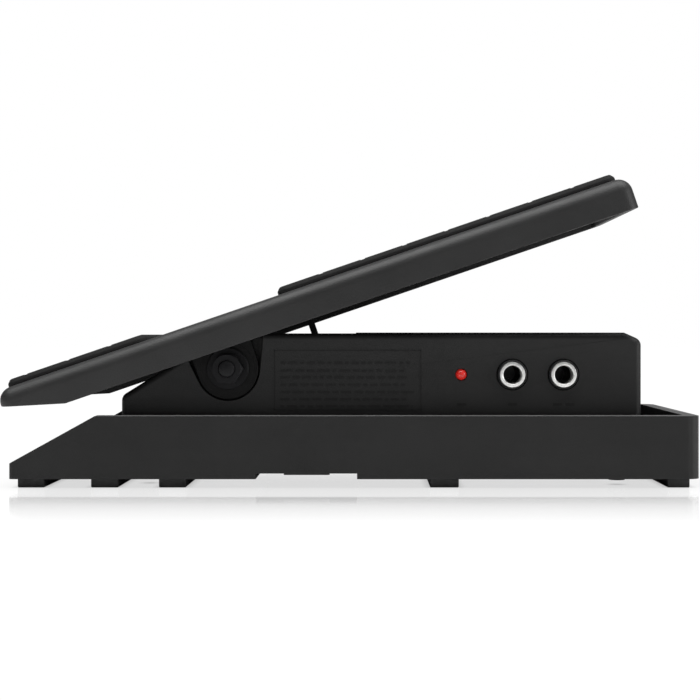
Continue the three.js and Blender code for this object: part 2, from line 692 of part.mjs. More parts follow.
function earOutline() {
  const points = [[EAR.radius, TREADLE.top - 1], [-EAR.radius, TREADLE.top - 1]];
  const steps = 2 * ARC_STEPS;
  for (let step = 0; step <= steps; step += 1) {
    const angle = Math.PI * (1 + step / steps);
    points.push([EAR.radius * Math.cos(angle), EAR.radius * Math.sin(angle)]);
  }
  return new THREE.Shape(points.map(([x, z]) => new THREE.Vector2(x, z)));
}

function treadleShell() {
  const hollow = treadleBlock(TREADLE.wall, 20);
  const outer = treadleBlock(0, 0);
  const ceiling = TREADLE.top - TREADLE.wall;
  const ribZ = [ceiling - RIBS.depth, ceiling + 1];
  let shell = outer.subtract(hollow);
  SIDES.forEach(({ sign }) => {
    const span = spanY(sign, RIBS.along - RIBS.thickness, RIBS.along);
    shell = shell.add(box([TREADLE.heel + 8, TREADLE.toe - 2], span, ribZ));
  });
  RIBS.across.forEach((x) => {
    shell = shell.add(box([x, x + RIBS.thickness], mirrored(TREADLE.halfWidth - 2), ribZ).intersect(outer));
  });
  SIDES.forEach(({ sign }) => {
    shell = shell.add(acrossY(earOutline(), spanY(sign, EAR.inner, EAR.outer)));
    shell = shell.subtract(rodY(EAR.bore, spanY(sign, EAR.inner - 1, EAR.outer + 1), 0, 0));
  });
  rackScrewPlaces().forEach(([x, y]) => {
    shell = shell.subtract(rodZ(RACK_SCREW.hole, [0, TREADLE.top - 0.5], x, y, 12));
  });
  return shell;
}

// A pad with sloping edges, and grooves across it that are shallow at its two borders.
function pad({ start, end, firstGroove, grooves }) {
  const { bottom, top, halfWidth, bevel, corner, rounding } = PAD;
  const profile = (low, high) => outline([
    [low, bottom], [high, bottom], [high, top - bevel, rounding],
    [high - bevel, top, rounding], [low + bevel, top, rounding], [low, top - bevel, rounding],
  ]);
  const section = profile(-halfWidth, halfWidth);
  const side = profile(start, end);
  const plan = rectangle(start, end, -halfWidth, halfWidth, corner);
  let body = acrossY(side, mirrored(halfWidth)).intersect(alongX(section, [start, end]));
  body = body.intersect(upZ(plan, [bottom, top]));
  for (let index = 0; index < grooves; index += 1) {
    const centre = firstGroove + index * GROOVE.pitch;
    const span = [centre - GROOVE.width / 2, centre + GROOVE.width / 2];
    body = body.subtract(box(span, mirrored(halfWidth - GROOVE.border), [top - GROOVE.depth, top + 1]));
    body = body.subtract(box(span, mirrored(halfWidth + 1), [top - GROOVE.borderDepth, top + 1]));
  }
  return body;
}

function treadleNodes() {
  const ceiling = TREADLE.top - TREADLE.wall;
  const nodes = [
    node('treadle_shell', treadleShell(), MATERIALS.treadle),
    node('toe_pad', pad(TOE_PAD), MATERIALS.rubber),
    node('heel_pad', pad(HEEL_PAD), MATERIALS.rubber),
    node('sector_rack', sectorRack(), MATERIALS.blackNylon),
  ];
  rackScrewPlaces().forEach((place, index) => {
    nodes.push(node(`rack_screw_${index + 1}`, rackScrew(place), MATERIALS.steel));
  });
  SIDES.forEach(({ name, sign }) => {
    const bush = ringY(EAR.bore - GAP, BOLT.hole, spanY(sign, EAR.inner, EAR.outer), 0, 0);
    const stopSpan = [ceiling - TOE_STOP.depth, ceiling - GAP];
    const stop = rodZ(TOE_STOP.radius, stopSpan, TOE_STOP.x, sign * TOE_STOP.y);
    nodes.push(node(`bush_${name}`, bush, MATERIALS.brass));
    nodes.push(node(`toe_stop_${name}`, stop, MATERIALS.rubber));
  });
  return nodes;
}

// ---------- assembly ----------

function baseNodes() {
  const potShaft = rodY(POT.shaft, POT.shaftY, PINION_CENTRE.x, PINION_CENTRE.z);
  const nodes = [
    node('base_frame', baseFrame(), MATERIALS.base),
    node('bottom_plate', bottomPlate(), MATERIALS.base),
    node('housing', housing(), MATERIALS.housing),
    node('battery_box', batteryBox(), MATERIALS.housing),
    node('battery', battery(), MATERIALS.battery),
    node('battery_snap', batterySnap(), MATERIALS.blackNylon),
    node('battery_door', batteryDoor(), MATERIALS.base),
    node('battery_led', led(), MATERIALS.led),
    node('dc_jack', dcJack(), MATERIALS.blackNylon),
    node('pot_bracket', potBracket(), MATERIALS.steel),
    node('potentiometer', potentiometer(), MATERIALS.steel),
    node('pot_nut', potNut(), MATERIALS.steel),
    node('pot_shaft', potShaft, MATERIALS.steel),
    node('pinion_gear', pinionGear(), MATERIALS.whiteNylon),
  ];
  FOOT.spans.forEach((span, index) => {
    const strip = box(span, mirrored(FOOT.halfWidth), [0, FOOT.height]);
    nodes.push(node(`foot_strip_${index + 1}`, strip, MATERIALS.rubber));
  });
  BOSS.places.forEach((place, index) => {
    nodes.push(node(`plate_screw_${index + 1}`, plateScrew(place), MATERIALS.steel));
  });
  SIDES.forEach(({ name, sign }) => {
    const role = name === 'near' ? 'input' : 'output';
    JACK.xs.forEach((x, index) => {
      nodes.push(node(`${role}_jack_${index + 1}`, jack(x, sign), MATERIALS.blackNylon));
      nodes.push(node(`${role}_ferrule_${index + 1}`, ferrule(x, sign), MATERIALS.nickel));
    });
  });
  return [...nodes, ...boardNodes(), ...pivotNodes()];
}

const treadle = new THREE.Group();
treadle.position.set(PIVOT.x, 0, PIVOT.z);
treadle.rotation.y = radians(-TILT);
treadle.add(...treadleNodes());

const pedal = new THREE.Group();
pedal.add(...baseNodes(), treadle);

// The origin is on the floor, under the middle of the whole outline.
const middle = new THREE.Box3().setFromObject(pedal, true).getCenter(new THREE.Vector3());
pedal.position.x = -middle.x;

export default pedal;
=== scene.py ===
"""Looks for a volume pedal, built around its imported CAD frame.

Outlines are written in millimetres, either from the heel end of the base (X) and the floor (Z), or in
the treadle's own frame, whose origin is on the pivot. BASE_FRAME and TREADLE_FRAME turn both into the
shared frame in metres.
"""
import json
import math
import random

import bmesh
import bpy
from mathutils import Matrix, Vector


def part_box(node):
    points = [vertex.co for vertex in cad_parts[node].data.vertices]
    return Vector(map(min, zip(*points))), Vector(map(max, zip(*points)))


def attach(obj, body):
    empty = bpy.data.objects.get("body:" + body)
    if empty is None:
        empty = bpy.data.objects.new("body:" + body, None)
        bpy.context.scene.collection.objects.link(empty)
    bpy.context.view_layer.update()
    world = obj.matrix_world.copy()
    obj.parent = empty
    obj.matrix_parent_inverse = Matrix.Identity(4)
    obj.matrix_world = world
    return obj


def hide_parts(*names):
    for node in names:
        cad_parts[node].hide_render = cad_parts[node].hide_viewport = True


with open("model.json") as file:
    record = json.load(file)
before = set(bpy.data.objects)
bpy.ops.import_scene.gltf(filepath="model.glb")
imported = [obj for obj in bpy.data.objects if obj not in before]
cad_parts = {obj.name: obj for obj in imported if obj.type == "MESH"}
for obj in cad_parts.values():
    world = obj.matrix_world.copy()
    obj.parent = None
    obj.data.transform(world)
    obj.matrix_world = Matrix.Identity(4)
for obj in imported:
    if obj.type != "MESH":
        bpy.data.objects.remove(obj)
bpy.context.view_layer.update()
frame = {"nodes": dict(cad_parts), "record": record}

# ---------- places that the frame gives ----------

MM = 0.001
RECORD = frame["record"]
JOINTS = {joint["name"]: joint for joint in RECORD["behaviour"]["joints"]}
MOUNTS = {mount["name"]: mount for mount in RECORD["mounts"]}
PIVOT_X = 75.1
PIVOT = Vector(JOINTS["treadle_tilt"]["pos_m"])
TREAD_AXIS = Vector(MOUNTS["toe_tread"]["axis"])
TILT = math.atan2(-TREAD_AXIS.x, TREAD_AXIS.z)
BASE_FRAME = Matrix.Translation((PIVOT.x - PIVOT_X * MM, 0, 0)) @ Matrix.Scale(MM, 4)
TREADLE_FRAME = Matrix.Translation(PIVOT) @ Matrix.Rotation(-TILT, 4, "Y") @ Matrix.Scale(MM, 4)
PIVOT_MM = BASE_FRAME.inverted() @ PIVOT

# ---------- driving dimensions, in millimetres ----------

ARC_STEPS = 8
ROUND = 64
AXIS = 0.001  # a radius small enough to stand for the axis of a turned piece
BASE = {"heel": -0.45, "toe": 240, "half": 52.5, "bottom": 3.2, "rim": 25.1, "heel_top": 8.5, "wall": 2.6}
RAMP_END = 29.5
WELL = {"start": 37.2, "end": 235, "half": 45.3, "corner": 1.5, "skirt": 2, "bottom": 7.6}
NOTCH = {"x": (85.4, 120.6), "top": 5.15}
HOUSING = {"start": 37.6, "end": 220.6, "half": 44.5, "bottom": 7.6, "top": 54.1, "wall": 2.4, "edge": 2.2}
SLOPE = {"ridge": 73.3, "foot": 31.8, "toe_top": 214.7, "toe_foot": 51.45}
POCKET = {"radius": 11.2, "floor": 39, "heel_lean": 26, "toe_lean": 5.7, "wall": 2.4, "height": 28}
EAR = {"radius": 10.7, "inner": 40, "outer": 44, "bore": 5.4}
TREADLE = {"heel": -78.9, "toe": 154.4, "half": 52.5, "skirt": 6.8, "top": 18.6, "wall": 2.6, "edge": 5}
HEEL_LIP = {"lip": 13, "flat_start": -56.8}
PAD = {"top": 21.22, "half": 45.5, "bevel": 1.3, "corner": 4}
GROOVE = {"pitch": 15.6, "width": 1.6, "depth": 1.3, "border": 5, "border_depth": 0.2}
TOE_PAD = {"start": 25, "end": 150.8, "first": 41.7, "count": 7}
HEEL_PAD = {"start": -75.5, "end": -23.6, "first": -68.1, "count": 3}
JACK = {"xs": (175.1, 193.1), "z": 39.3, "nose": 5.2, "ferrule": 4.5, "bore": 3.2}
LED = {"x": 157.2, "z": 39.3, "radius": 1.9}
DC = {"x": 157.2, "z": 39.3, "radius": 4.4, "bore": 2.9}
SLOT = {"x": (100.2, 109.2), "y": (11.3, 17.7)}
LOWERED = {"x": (60, 120.2), "depth": 0.3}
RIBS = {"across": (-55, -36, 60, 95, 140), "along": (-25, 23.4), "thick": 1.6, "span": (-70, 152)}
BOLT = {"radius": 2.9, "hole": 3.3, "flats": 10, "head": (45.8, 50)}
PANEL = {"x": (91.4, 143.1), "z": (26.8, 47.95), "rows": (43.4, 40.6, 38.3, 35.7, 33.2, 30.7, 28.3)}

# ---------- mesh helpers ----------


def rounded(corners, steps=ARC_STEPS):
    """A closed outline from corners (a, b, radius): a corner with a radius becomes an arc."""
    points = []
    for index, (a, b, *rest) in enumerate(corners):
        corner = Vector((a, b))
        radius = rest[0] if rest else 0
        if not radius:
            points.append(corner)
            continue
        before = Vector(corners[index - 1][:2])
        after = Vector(corners[(index + 1) % len(corners)][:2])
        back = (before - corner).normalized()
        ahead = (after - corner).normalized()
        half = back.angle(ahead) / 2
        centre = corner + (back + ahead).normalized() * radius / math.sin(half)
        first = corner + back * radius / math.tan(half) - centre
        last = corner + ahead * radius / math.tan(half) - centre
        sweep = math.atan2(first.x * last.y - first.y * last.x, first.dot(last))
        for step in range(steps + 1):
            angle = sweep * step / steps
            turn = Matrix.Rotation(angle, 2)
            points.append(turn @ first + centre)
    return points


def circle(radius, a=0, b=0, count=ROUND):
    turns = [2 * math.pi * step / count for step in range(count)]
    return [Vector((a + radius * math.cos(turn), b + radius * math.sin(turn))) for turn in turns]


def rectangle(a, b, radius=0):
    return rounded([(a[0], b[0], radius), (a[1], b[0], radius), (a[1], b[1], radius), (a[0], b[1], radius)])


def object_from(name, verts, faces, place):
    """A new mesh object with its faces pointing out, moved from millimetres into the shared frame."""
    mesh = bpy.data.meshes.new(name)
    mesh.from_pydata([tuple(v) for v in verts], [], faces)
    shape = bmesh.new()
    shape.from_mesh(mesh)
    bmesh.ops.remove_doubles(shape, verts=shape.verts, dist=1e-4)
    bmesh.ops.recalc_face_normals(shape, faces=shape.faces)
    shape.to_mesh(mesh)
    shape.free()
    mesh.transform(place)
    mesh.update()
    piece = bpy.data.objects.new(name, mesh)
    bpy.context.scene.collection.objects.link(piece)
    return piece


AXES = {
    "XZ": lambda a, b, c: (a, c, b),
    "XY": lambda a, b, c: (a, b, c),
    "YZ": lambda a, b, c: (c, a, b),
}


def prism(name, points, span, plane="XZ", place=BASE_FRAME):
    """An outline in one plane, given thickness across it."""
    put = AXES[plane]
    count = len(points)
    verts = [put(p[0], p[1], span[0]) for p in points] + [put(p[0], p[1], span[1]) for p in points]
    faces = [tuple(range(count)), tuple(range(2 * count - 1, count - 1, -1))]
    for index in range(count):
        after = (index + 1) % count
        faces.append((index, after, count + after, count + index))
    return object_from(name, verts, faces, place)


def block(name, x, y, z, place=BASE_FRAME):
    return prism(name, rectangle(x, z), y, "XZ", place)


def rod_y(name, radius, span, x, z, place=BASE_FRAME, count=ROUND):
    return prism(name, circle(radius, x, z, count), span, "XZ", place)


def rings_mesh(name, rings, place, closed=False):
    """Quads between equal rings of points; the first and last rings are capped, or joined if closed."""
    count = len(rings[0])
    verts = [point for ring in rings for point in ring]
    faces = []
    pairs = list(zip(range(len(rings) - 1), range(1, len(rings))))
    if closed:
        pairs.append((len(rings) - 1, 0))
    else:
        faces += [tuple(range(count)), tuple(range(len(verts) - 1, len(verts) - count - 1, -1))]
    for low, high in pairs:
        for index in range(count):
            after = (index + 1) % count
            below, above = low * count, high * count
            faces.append((below + index, below + after, above + after, above + index))
    return object_from(name, verts, faces, place)


def lathe_y(name, profile, x, z, sign, place=BASE_FRAME, closed=True):
    """A profile of (radius, distance along Y) turned about a line through (x, z); sign says which side."""
    rings = []
    for radius, along in profile:
        rings.append([(p.x, sign * along, p.y) for p in circle(radius, x, z)])
    return rings_mesh(name, rings, place, closed)


def span_y(sign, inner, outer):
    return (-outer, -inner) if sign < 0 else (inner, outer)


def apply_modifiers(piece):
    graph = bpy.context.evaluated_depsgraph_get()
    mesh = bpy.data.meshes.new_from_object(piece.evaluated_get(graph))
    piece.modifiers.clear()
    old = piece.data
    piece.data = mesh
    bpy.data.meshes.remove(old)


def triangulate(piece):
    shape = bmesh.new()
    shape.from_mesh(piece.data)
    bmesh.ops.triangulate(shape, faces=shape.faces)
    shape.to_mesh(piece.data)
    shape.free()


def combine(piece, tools, operation="DIFFERENCE"):
    """Cuts, adds or intersects each tool with the piece, and removes the tools."""
    for tool in tools:
        triangulate(piece)
        triangulate(tool)
        change = piece.modifiers.new("cut", "BOOLEAN")
        change.operation = operation
        change.solver = "MANIFOLD"
        change.object = tool
        apply_modifiers(piece)
        bpy.data.objects.remove(tool)
    return piece


def bevel_edges(piece, width, pick, segments=4):
    """Rounds the edges that pick() chooses by their two ends, in metres."""
    shape = bmesh.new()
    shape.from_mesh(piece.data)
    edges = [edge for edge in shape.edges if pick(edge.verts[0].co, edge.verts[1].co)]
    bmesh.ops.bevel(shape, geom=edges, offset=width * MM, segments=segments, profile=0.5, affect="EDGES")
    shape.to_mesh(piece.data)
    shape.free()


def soften(piece, width, segments=3, angle=32):
    """Rounds every sharp edge a little, and shades the piece smooth."""
    tidy(piece)
    edge = piece.modifiers.new("edge", "BEVEL")
    edge.width = width * MM
    edge.segments = segments
    edge.limit_method = "ANGLE"
    edge.angle_limit = math.radians(angle)
    edge.use_clamp_overlap = True
    edge.harden_normals = True
    return smooth(piece)


def tidy(piece):
    shape = bmesh.new()
    shape.from_mesh(piece.data)
    bmesh.ops.remove_doubles(shape, verts=shape.verts, dist=0.01 * MM)
    bmesh.ops.dissolve_degenerate(shape, edges=shape.edges, dist=0.01 * MM)
    shape.to_mesh(piece.data)
    shape.free()


def smooth(piece):
    for face in piece.data.polygons:
        face.use_smooth = True
    return piece


def smooth_by_angle(piece, angle=28):
    """Marks the edges that turn further than the angle as sharp, and shades the rest smooth."""
    shape = bmesh.new()
    shape.from_mesh(piece.data)
    for face in shape.faces:
        face.smooth = True
    for edge in shape.edges:
        edge.smooth = len(edge.link_faces) == 2 and edge.calc_face_angle() < math.radians(angle)
    shape.to_mesh(piece.data)
    shape.free()
    return piece


def flat_regions(shape, limit):
    """Each face's region of joined coplanar faces, by number, and every region's area."""
    region, areas = {}, []
    for start in shape.faces:
        if start.index in region:
            continue
        region[start.index] = len(areas)
        waiting, area = [start], 0
        while waiting:
            face = waiting.pop()
            area += face.calc_area()
            for edge in face.edges:
                for other in edge.link_faces:
                    if other.index not in region and other.normal.dot(start.normal) > limit:
                        region[other.index] = len(areas)
                        waiting.append(other)
        areas.append(area)
    return region, areas


def smooth_fan(corner):
    """The faces round a face corner's vertex that join its face without crossing a sharp edge."""
    fan, waiting = {corner.face}, [corner.face]
    while waiting:
        face = waiting.pop()
        for edge in face.edges:
            if edge.smooth and corner.vert in edge.verts:
                for other in edge.link_faces:
                    if other not in fan:
                        fan.add(other)
                        waiting.append(other)
    return fan


def hold_flats(piece, angle=28, smallest=15e-6):
    """Smooth shading in which a flat side, however it is cut up, keeps its own normal to its edges."""
    tidy(piece)
    smooth_by_angle(piece, angle)
    shape = bmesh.new()
    shape.from_mesh(piece.data)
    shape.faces.ensure_lookup_table()
    region, areas = flat_regions(shape, math.cos(math.radians(0.5)))
    normals = []
    for face in shape.faces:
        for corner in face.loops:
            fan = smooth_fan(corner)
            widest = max(fan, key=lambda near: areas[region[near.index]])
            if areas[region[widest.index]] > smallest:
                normals.append(widest.normal.copy())
            else:
                total = sum((near.normal * near.calc_area() for near in fan), Vector())
                normals.append(total.normalized())
    shape.free()
    piece.data.normals_split_custom_set(normals)
    return piece


def shown(piece, body, material, replaces=()):
    """Gives a piece its finish and the body it rides on, and hides the CAD nodes that it stands for."""
    piece.data.materials.clear()
    piece.data.materials.append(material)
    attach(piece, body)
    if replaces:
        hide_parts(*replaces)
    return piece


# ---------- materials ----------


class Nodes:
    """A short way to build one material's node tree."""

    def __init__(self, name):
        self.material = bpy.data.materials.new(name)
        self.material.use_nodes = True
        self.tree = self.material.node_tree
        self.shader = self.tree.nodes["Principled BSDF"]
        self.coords = self.add("ShaderNodeTexCoord").outputs["Object"]

    def add(self, kind, **settings):
        node = self.tree.nodes.new(kind)
        for key, value in settings.items():
            setattr(node, key, value)
        return node

    def link(self, source, target):
        self.tree.links.new(source, target)

    def noise(self, scale, detail=3, roughness=0.55, stretch=None):
        node = self.add("ShaderNodeTexNoise")
        node.inputs["Scale"].default_value = scale
        node.inputs["Detail"].default_value = detail
        node.inputs["Roughness"].default_value = roughness
        source = self.coords
        if stretch:
            mapping = self.add("ShaderNodeMapping")
            mapping.inputs["Scale"].default_value = stretch
            self.link(self.coords, mapping.inputs["Vector"])
            source = mapping.outputs["Vector"]
        self.link(source, node.inputs["Vector"])
        return node.outputs["Fac"]

    def ramp(self, value, low, high, low_colour, high_colour):
        node = self.add("ShaderNodeValToRGB")
        node.color_ramp.elements[0].position = low
        node.color_ramp.elements[1].position = high
        node.color_ramp.elements[0].color = (*low_colour, 1)
        node.color_ramp.elements[1].color = (*high_colour, 1)
        self.link(value, node.inputs["Fac"])
        return node.outputs["Color"]

    def spread(self, value, low, high, from_low=0.3, from_high=0.7):
        node = self.add("ShaderNodeMapRange")
        node.inputs["From Min"].default_value = from_low
        node.inputs["From Max"].default_value = from_high
        node.inputs["To Min"].default_value = low
        node.inputs["To Max"].default_value = high
        self.link(value, node.inputs["Value"])
        return node.outputs["Result"]

    def mix(self, factor, first, second, blend="MIX"):
        node = self.add("ShaderNodeMix", data_type="RGBA", blend_type=blend)
        self.link(factor, node.inputs["Factor"])
        for value, socket in ((first, node.inputs["A"]), (second, node.inputs["B"])):
            if isinstance(value, tuple):
                socket.default_value = (*value, 1)
            else:
                self.link(value, socket)
        return node.outputs["Result"]

    def bump(self, value, strength, distance, under=None):
        node = self.add("ShaderNodeBump")
        node.inputs["Strength"].default_value = strength
        node.inputs["Distance"].default_value = distance
        self.link(value, node.inputs["Height"])
        if under is not None:
            self.link(under, node.inputs["Normal"])
        return node.outputs["Normal"]

    def scale(self, value, factor):
        node = self.add("ShaderNodeMath", operation="MULTIPLY")
        self.link(value, node.inputs[0])
        node.inputs[1].default_value = factor
        return node.outputs["Value"]

    def by_height(self, stops):
        """A value set by height: stops lists (height in metres, value) pairs, lowest first."""
        split = self.add("ShaderNodeSeparateXYZ")
        self.link(self.coords, split.inputs["Vector"])
        low, high = stops[0][0], stops[-1][0]
        place = self.spread(split.outputs["Z"], 0, 1, low, high)
        node = self.add("ShaderNodeValToRGB")
        marks = node.color_ramp.elements
        marks.remove(marks[1])
        for index, (height, level) in enumerate(stops):
            mark = marks[0] if index == 0 else marks.new((height - low) / (high - low))
            mark.position = (height - low) / (high - low)
            mark.color = (level, level, level, 1)
        self.link(place, node.inputs["Fac"])
        return node.outputs["Color"]

    def edges(self, radius):
        """How far the surface turns within a short distance: 0 on flats, rising at edges."""
        bevel = self.add("ShaderNodeBevel", samples=4)
        bevel.inputs["Radius"].default_value = radius
        geometry = self.add("ShaderNodeNewGeometry")
        dot = self.add("ShaderNodeVectorMath", operation="DOT_PRODUCT")
        self.link(bevel.outputs["Normal"], dot.inputs[0])
        self.link(geometry.outputs["Normal"], dot.inputs[1])
        return self.spread(dot.outputs["Value"], 1, 0, 0.8, 1)


def scaled(colour, factor):
    return tuple(min(1, channel * factor) for channel in colour)


def moulded_plastic(name, colour, roughness=0.5, wear=0.35, gloss=0.42, dust_and_sheen=0.0, shade_fade=()):
    """Black moulding: a fine spark-eroded grain, faint flow marks, paler edges, and on upper faces a sheen
    that is partly dust and partly a painted highlight at grazing views.

    The height list gives (height in metres, share of the shine) pairs, lowest first: a painted shade that
    turns the shine down by height.
    """
    grain = 0.35
    nodes = Nodes(name)
    cloud = nodes.noise(38, 4)
    streak = nodes.noise(1, 3, stretch=(14, 120, 220))
    base = nodes.ramp(cloud, 0.3, 0.72, scaled(colour, 0.86), scaled(colour, 1.14))
    rubbed = nodes.mix(nodes.edges(0.0009), base, scaled(colour, 1 + wear))
    nodes.link(rubbed, nodes.shader.inputs["Base Color"])
    nodes.link(nodes.spread(streak, roughness - 0.05, roughness + 0.05), nodes.shader.inputs["Roughness"])
    pebbles = nodes.add("ShaderNodeTexVoronoi", feature="SMOOTH_F1")
    pebbles.inputs["Scale"].default_value = 1900
    nodes.link(nodes.coords, pebbles.inputs["Vector"])
    coarse = nodes.bump(pebbles.outputs["Distance"], grain, 0.00012)
    fine = nodes.bump(nodes.noise(5200, 2), grain * 0.6, 0.00005, coarse)
    nodes.link(fine, nodes.shader.inputs["Normal"])
    nodes.shader.inputs["Specular IOR Level"].default_value = gloss
    # Painted shade: the shine is turned down by height where shade falls on the part.
    if shade_fade:
        shaded_shine = nodes.by_height(shade_fade)
        nodes.link(nodes.scale(shaded_shine, gloss), nodes.shader.inputs["Specular IOR Level"])
    # Partly dust, partly painted highlight: a sheen on upward faces lightens them where they are seen at a
    # grazing angle.
    if dust_and_sheen:
        split = nodes.add("ShaderNodeSeparateXYZ")
        nodes.link(nodes.add("ShaderNodeNewGeometry").outputs["Normal"], split.inputs["Vector"])
        nodes.link(nodes.spread(split.outputs["Z"], 0, dust_and_sheen, 0.2, 0.7), nodes.shader.inputs["Sheen Weight"])
        nodes.shader.inputs["Sheen Roughness"].default_value = 0.3
    return nodes.material


def rubber(name, colour, roughness=0.8):
    """Matt rubber: soft mottling, a dusty bloom in patches, and a fine open grain."""
    nodes = Nodes(name)
    cloud = nodes.noise(60, 5, 0.65)
    bloom = nodes.noise(240, 4, 0.7)
    base = nodes.ramp(cloud, 0.3, 0.7, scaled(colour, 0.8), scaled(colour, 1.15))
    dusty = nodes.mix(nodes.spread(bloom, 0, 0.35, 0.5, 0.75), base, scaled(colour, 1.9))
    nodes.link(dusty, nodes.shader.inputs["Base Color"])
    nodes.link(nodes.spread(bloom, roughness - 0.08, roughness + 0.08), nodes.shader.inputs["Roughness"])
    grain = nodes.bump(nodes.noise(2600, 4, 0.7), 0.5, 0.00012)
    nodes.link(grain, nodes.shader.inputs["Normal"])
    nodes.shader.inputs["Specular IOR Level"].default_value = 0.3
    return nodes.material


def metal(name, colour, roughness, brushed=(900, 900, 900), tarnish=0.8, metallic=1.0, gloss=0.5):
    """Plated or turned metal: fine tool marks along one direction, and a little tarnish."""
    nodes = Nodes(name)
    marks = nodes.noise(1, 4, 0.6, stretch=brushed)
    patches = nodes.noise(150, 4, 0.6)
    base = nodes.ramp(patches, 0.3, 0.7, scaled(colour, tarnish), colour)
    nodes.link(base, nodes.shader.inputs["Base Color"])
    nodes.link(nodes.spread(marks, roughness * 0.75, roughness * 1.3), nodes.shader.inputs["Roughness"])
    nodes.link(nodes.bump(marks, 0.12, 0.00004), nodes.shader.inputs["Normal"])
    nodes.shader.inputs["Metallic"].default_value = metallic
    nodes.shader.inputs["Specular IOR Level"].default_value = gloss
    return nodes.material


def smooth_plastic(name, colour, roughness=0.32):
    """Smooth moulded nylon with faint mottling and a slight orange-peel surface."""
    nodes = Nodes(name)
    cloud = nodes.noise(90, 3)
    base = nodes.ramp(cloud, 0.3, 0.7, scaled(colour, 0.88), scaled(colour, 1.08))
    nodes.link(base, nodes.shader.inputs["Base Color"])
    unevenness = nodes.spread(nodes.noise(300, 3), roughness - 0.06, roughness + 0.06)
    nodes.link(unevenness, nodes.shader.inputs["Roughness"])
    nodes.link(nodes.bump(nodes.noise(1400, 2), 0.15, 0.00004), nodes.shader.inputs["Normal"])
    return nodes.material


def lens(name, colour):
    """The lamp's clear red dome, with a paler core that glows a little."""
    nodes = Nodes(name)
    cloud = nodes.noise(700, 2)
    base = nodes.ramp(cloud, 0.35, 0.7, scaled(colour, 0.8), scaled(colour, 1.15))
    nodes.link(base, nodes.shader.inputs["Base Color"])
    nodes.link(base, nodes.shader.inputs["Emission Color"])
    nodes.link(nodes.spread(cloud, 0.24, 0.3), nodes.shader.inputs["Roughness"])
    nodes.shader.inputs["Emission Strength"].default_value = 0.25
    nodes.shader.inputs["Coat Weight"].default_value = 0.3
    nodes.shader.inputs["Subsurface Weight"].default_value = 0.2
    nodes.shader.inputs["Subsurface Scale"].default_value = 0.001
    return nodes.material


def circuit_board(name):
    """Green solder mask over faint copper tracks, laid out as a cell pattern."""
    nodes = Nodes(name)
    tracks = nodes.add("ShaderNodeTexBrick")
    tracks.inputs["Scale"].default_value = 60
    tracks.inputs["Mortar Size"].default_value = 0.05
    nodes.link(nodes.coords, tracks.inputs["Vector"])
    mask = nodes.mix(tracks.outputs["Fac"], (0.012, 0.10, 0.04), (0.03, 0.17, 0.06))
    nodes.link(mask, nodes.shader.inputs["Base Color"])
    nodes.link(nodes.spread(nodes.noise(200, 3), 0.3, 0.45), nodes.shader.inputs["Roughness"])
    nodes.link(nodes.bump(tracks.outputs["Fac"], 0.3, 0.00005), nodes.shader.inputs["Normal"])
    return nodes.material


# (height in metres, share of the housing's shine): less near its foot and at its top edge, as painted shade
# for the shade that the tray's rim and the overhanging treadle cast there.
HOUSING_SHINE = ((0.025, 0.62), (0.038, 0.8), (0.049, 1.0), (0.0515, 1.0), (0.0525, 0.35), (0.054, 0.2))
# The raised marks take the same painted shade by height, at a lower shine.
MARK_SHINE = tuple((height, share * 0.72) for height, share in HOUSING_SHINE)
MATERIALS = {
    # The base and the treadle carry the upper-face sheen: partly dust, partly a painted highlight on their
    # rim tops and shelf.
    "base_plastic": moulded_plastic("base_plastic", (0.017, 0.017, 0.017), 0.5, gloss=0.31, dust_and_sheen=0.52),
    "housing_plastic": moulded_plastic("housing_plastic", (0.011, 0.011, 0.011), 0.55, shade_fade=HOUSING_SHINE),
    "treadle_plastic": moulded_plastic("treadle_plastic", (0.027, 0.027, 0.027), 0.46, gloss=0.38, dust_and_sheen=0.2),
    # A darker copy of the treadle's plastic: painted shade for the ears, which sit in the shadow under the
    # treadle's skirt.
    "ear_plastic_shaded": moulded_plastic("ear_plastic_shaded", (0.006, 0.006, 0.006), 0.6, gloss=0.17),
    "raised_marks": moulded_plastic("raised_marks", (0.009, 0.009, 0.009), 0.55, shade_fade=MARK_SHINE),
    "pad_rubber": rubber("pad_rubber", (0.012, 0.012, 0.012)),
    "foot_rubber": rubber("foot_rubber", (0.060, 0.060, 0.060)),
    "black_nylon": smooth_plastic("black_nylon", (0.010, 0.010, 0.010)),
    "white_nylon": smooth_plastic("white_nylon", (0.74, 0.72, 0.66)),
    "black_steel": metal("black_steel", (0.007, 0.007, 0.008), 0.5, metallic=0.0, gloss=0.2),
    "zinc_steel": metal("zinc_steel", (0.62, 0.62, 0.60), 0.34, brushed=(2400, 300, 2400)),
    "bright_nickel": metal("bright_nickel", (0.93, 0.93, 0.91), 0.45, tarnish=0.95),
    "bronze": metal("bronze", (0.58, 0.40, 0.18), 0.4),
    "battery_case": metal("battery_case", (0.06, 0.06, 0.065), 0.35, brushed=(300, 2400, 300), metallic=0.6),
    "circuit_board": circuit_board("circuit_board"),
    "red_lens": lens("red_lens", (0.60, 0.022, 0.016)),
}

# ---------- base tray, plate and feet ----------


def base_plan(inset, heel, toe):
    side = BASE["half"] - inset
    start = BASE["heel"] + inset
    end = BASE["toe"] - inset
    return rounded([(start, -side, heel), (end, -side, toe), (end, side, toe), (start, side, heel)])


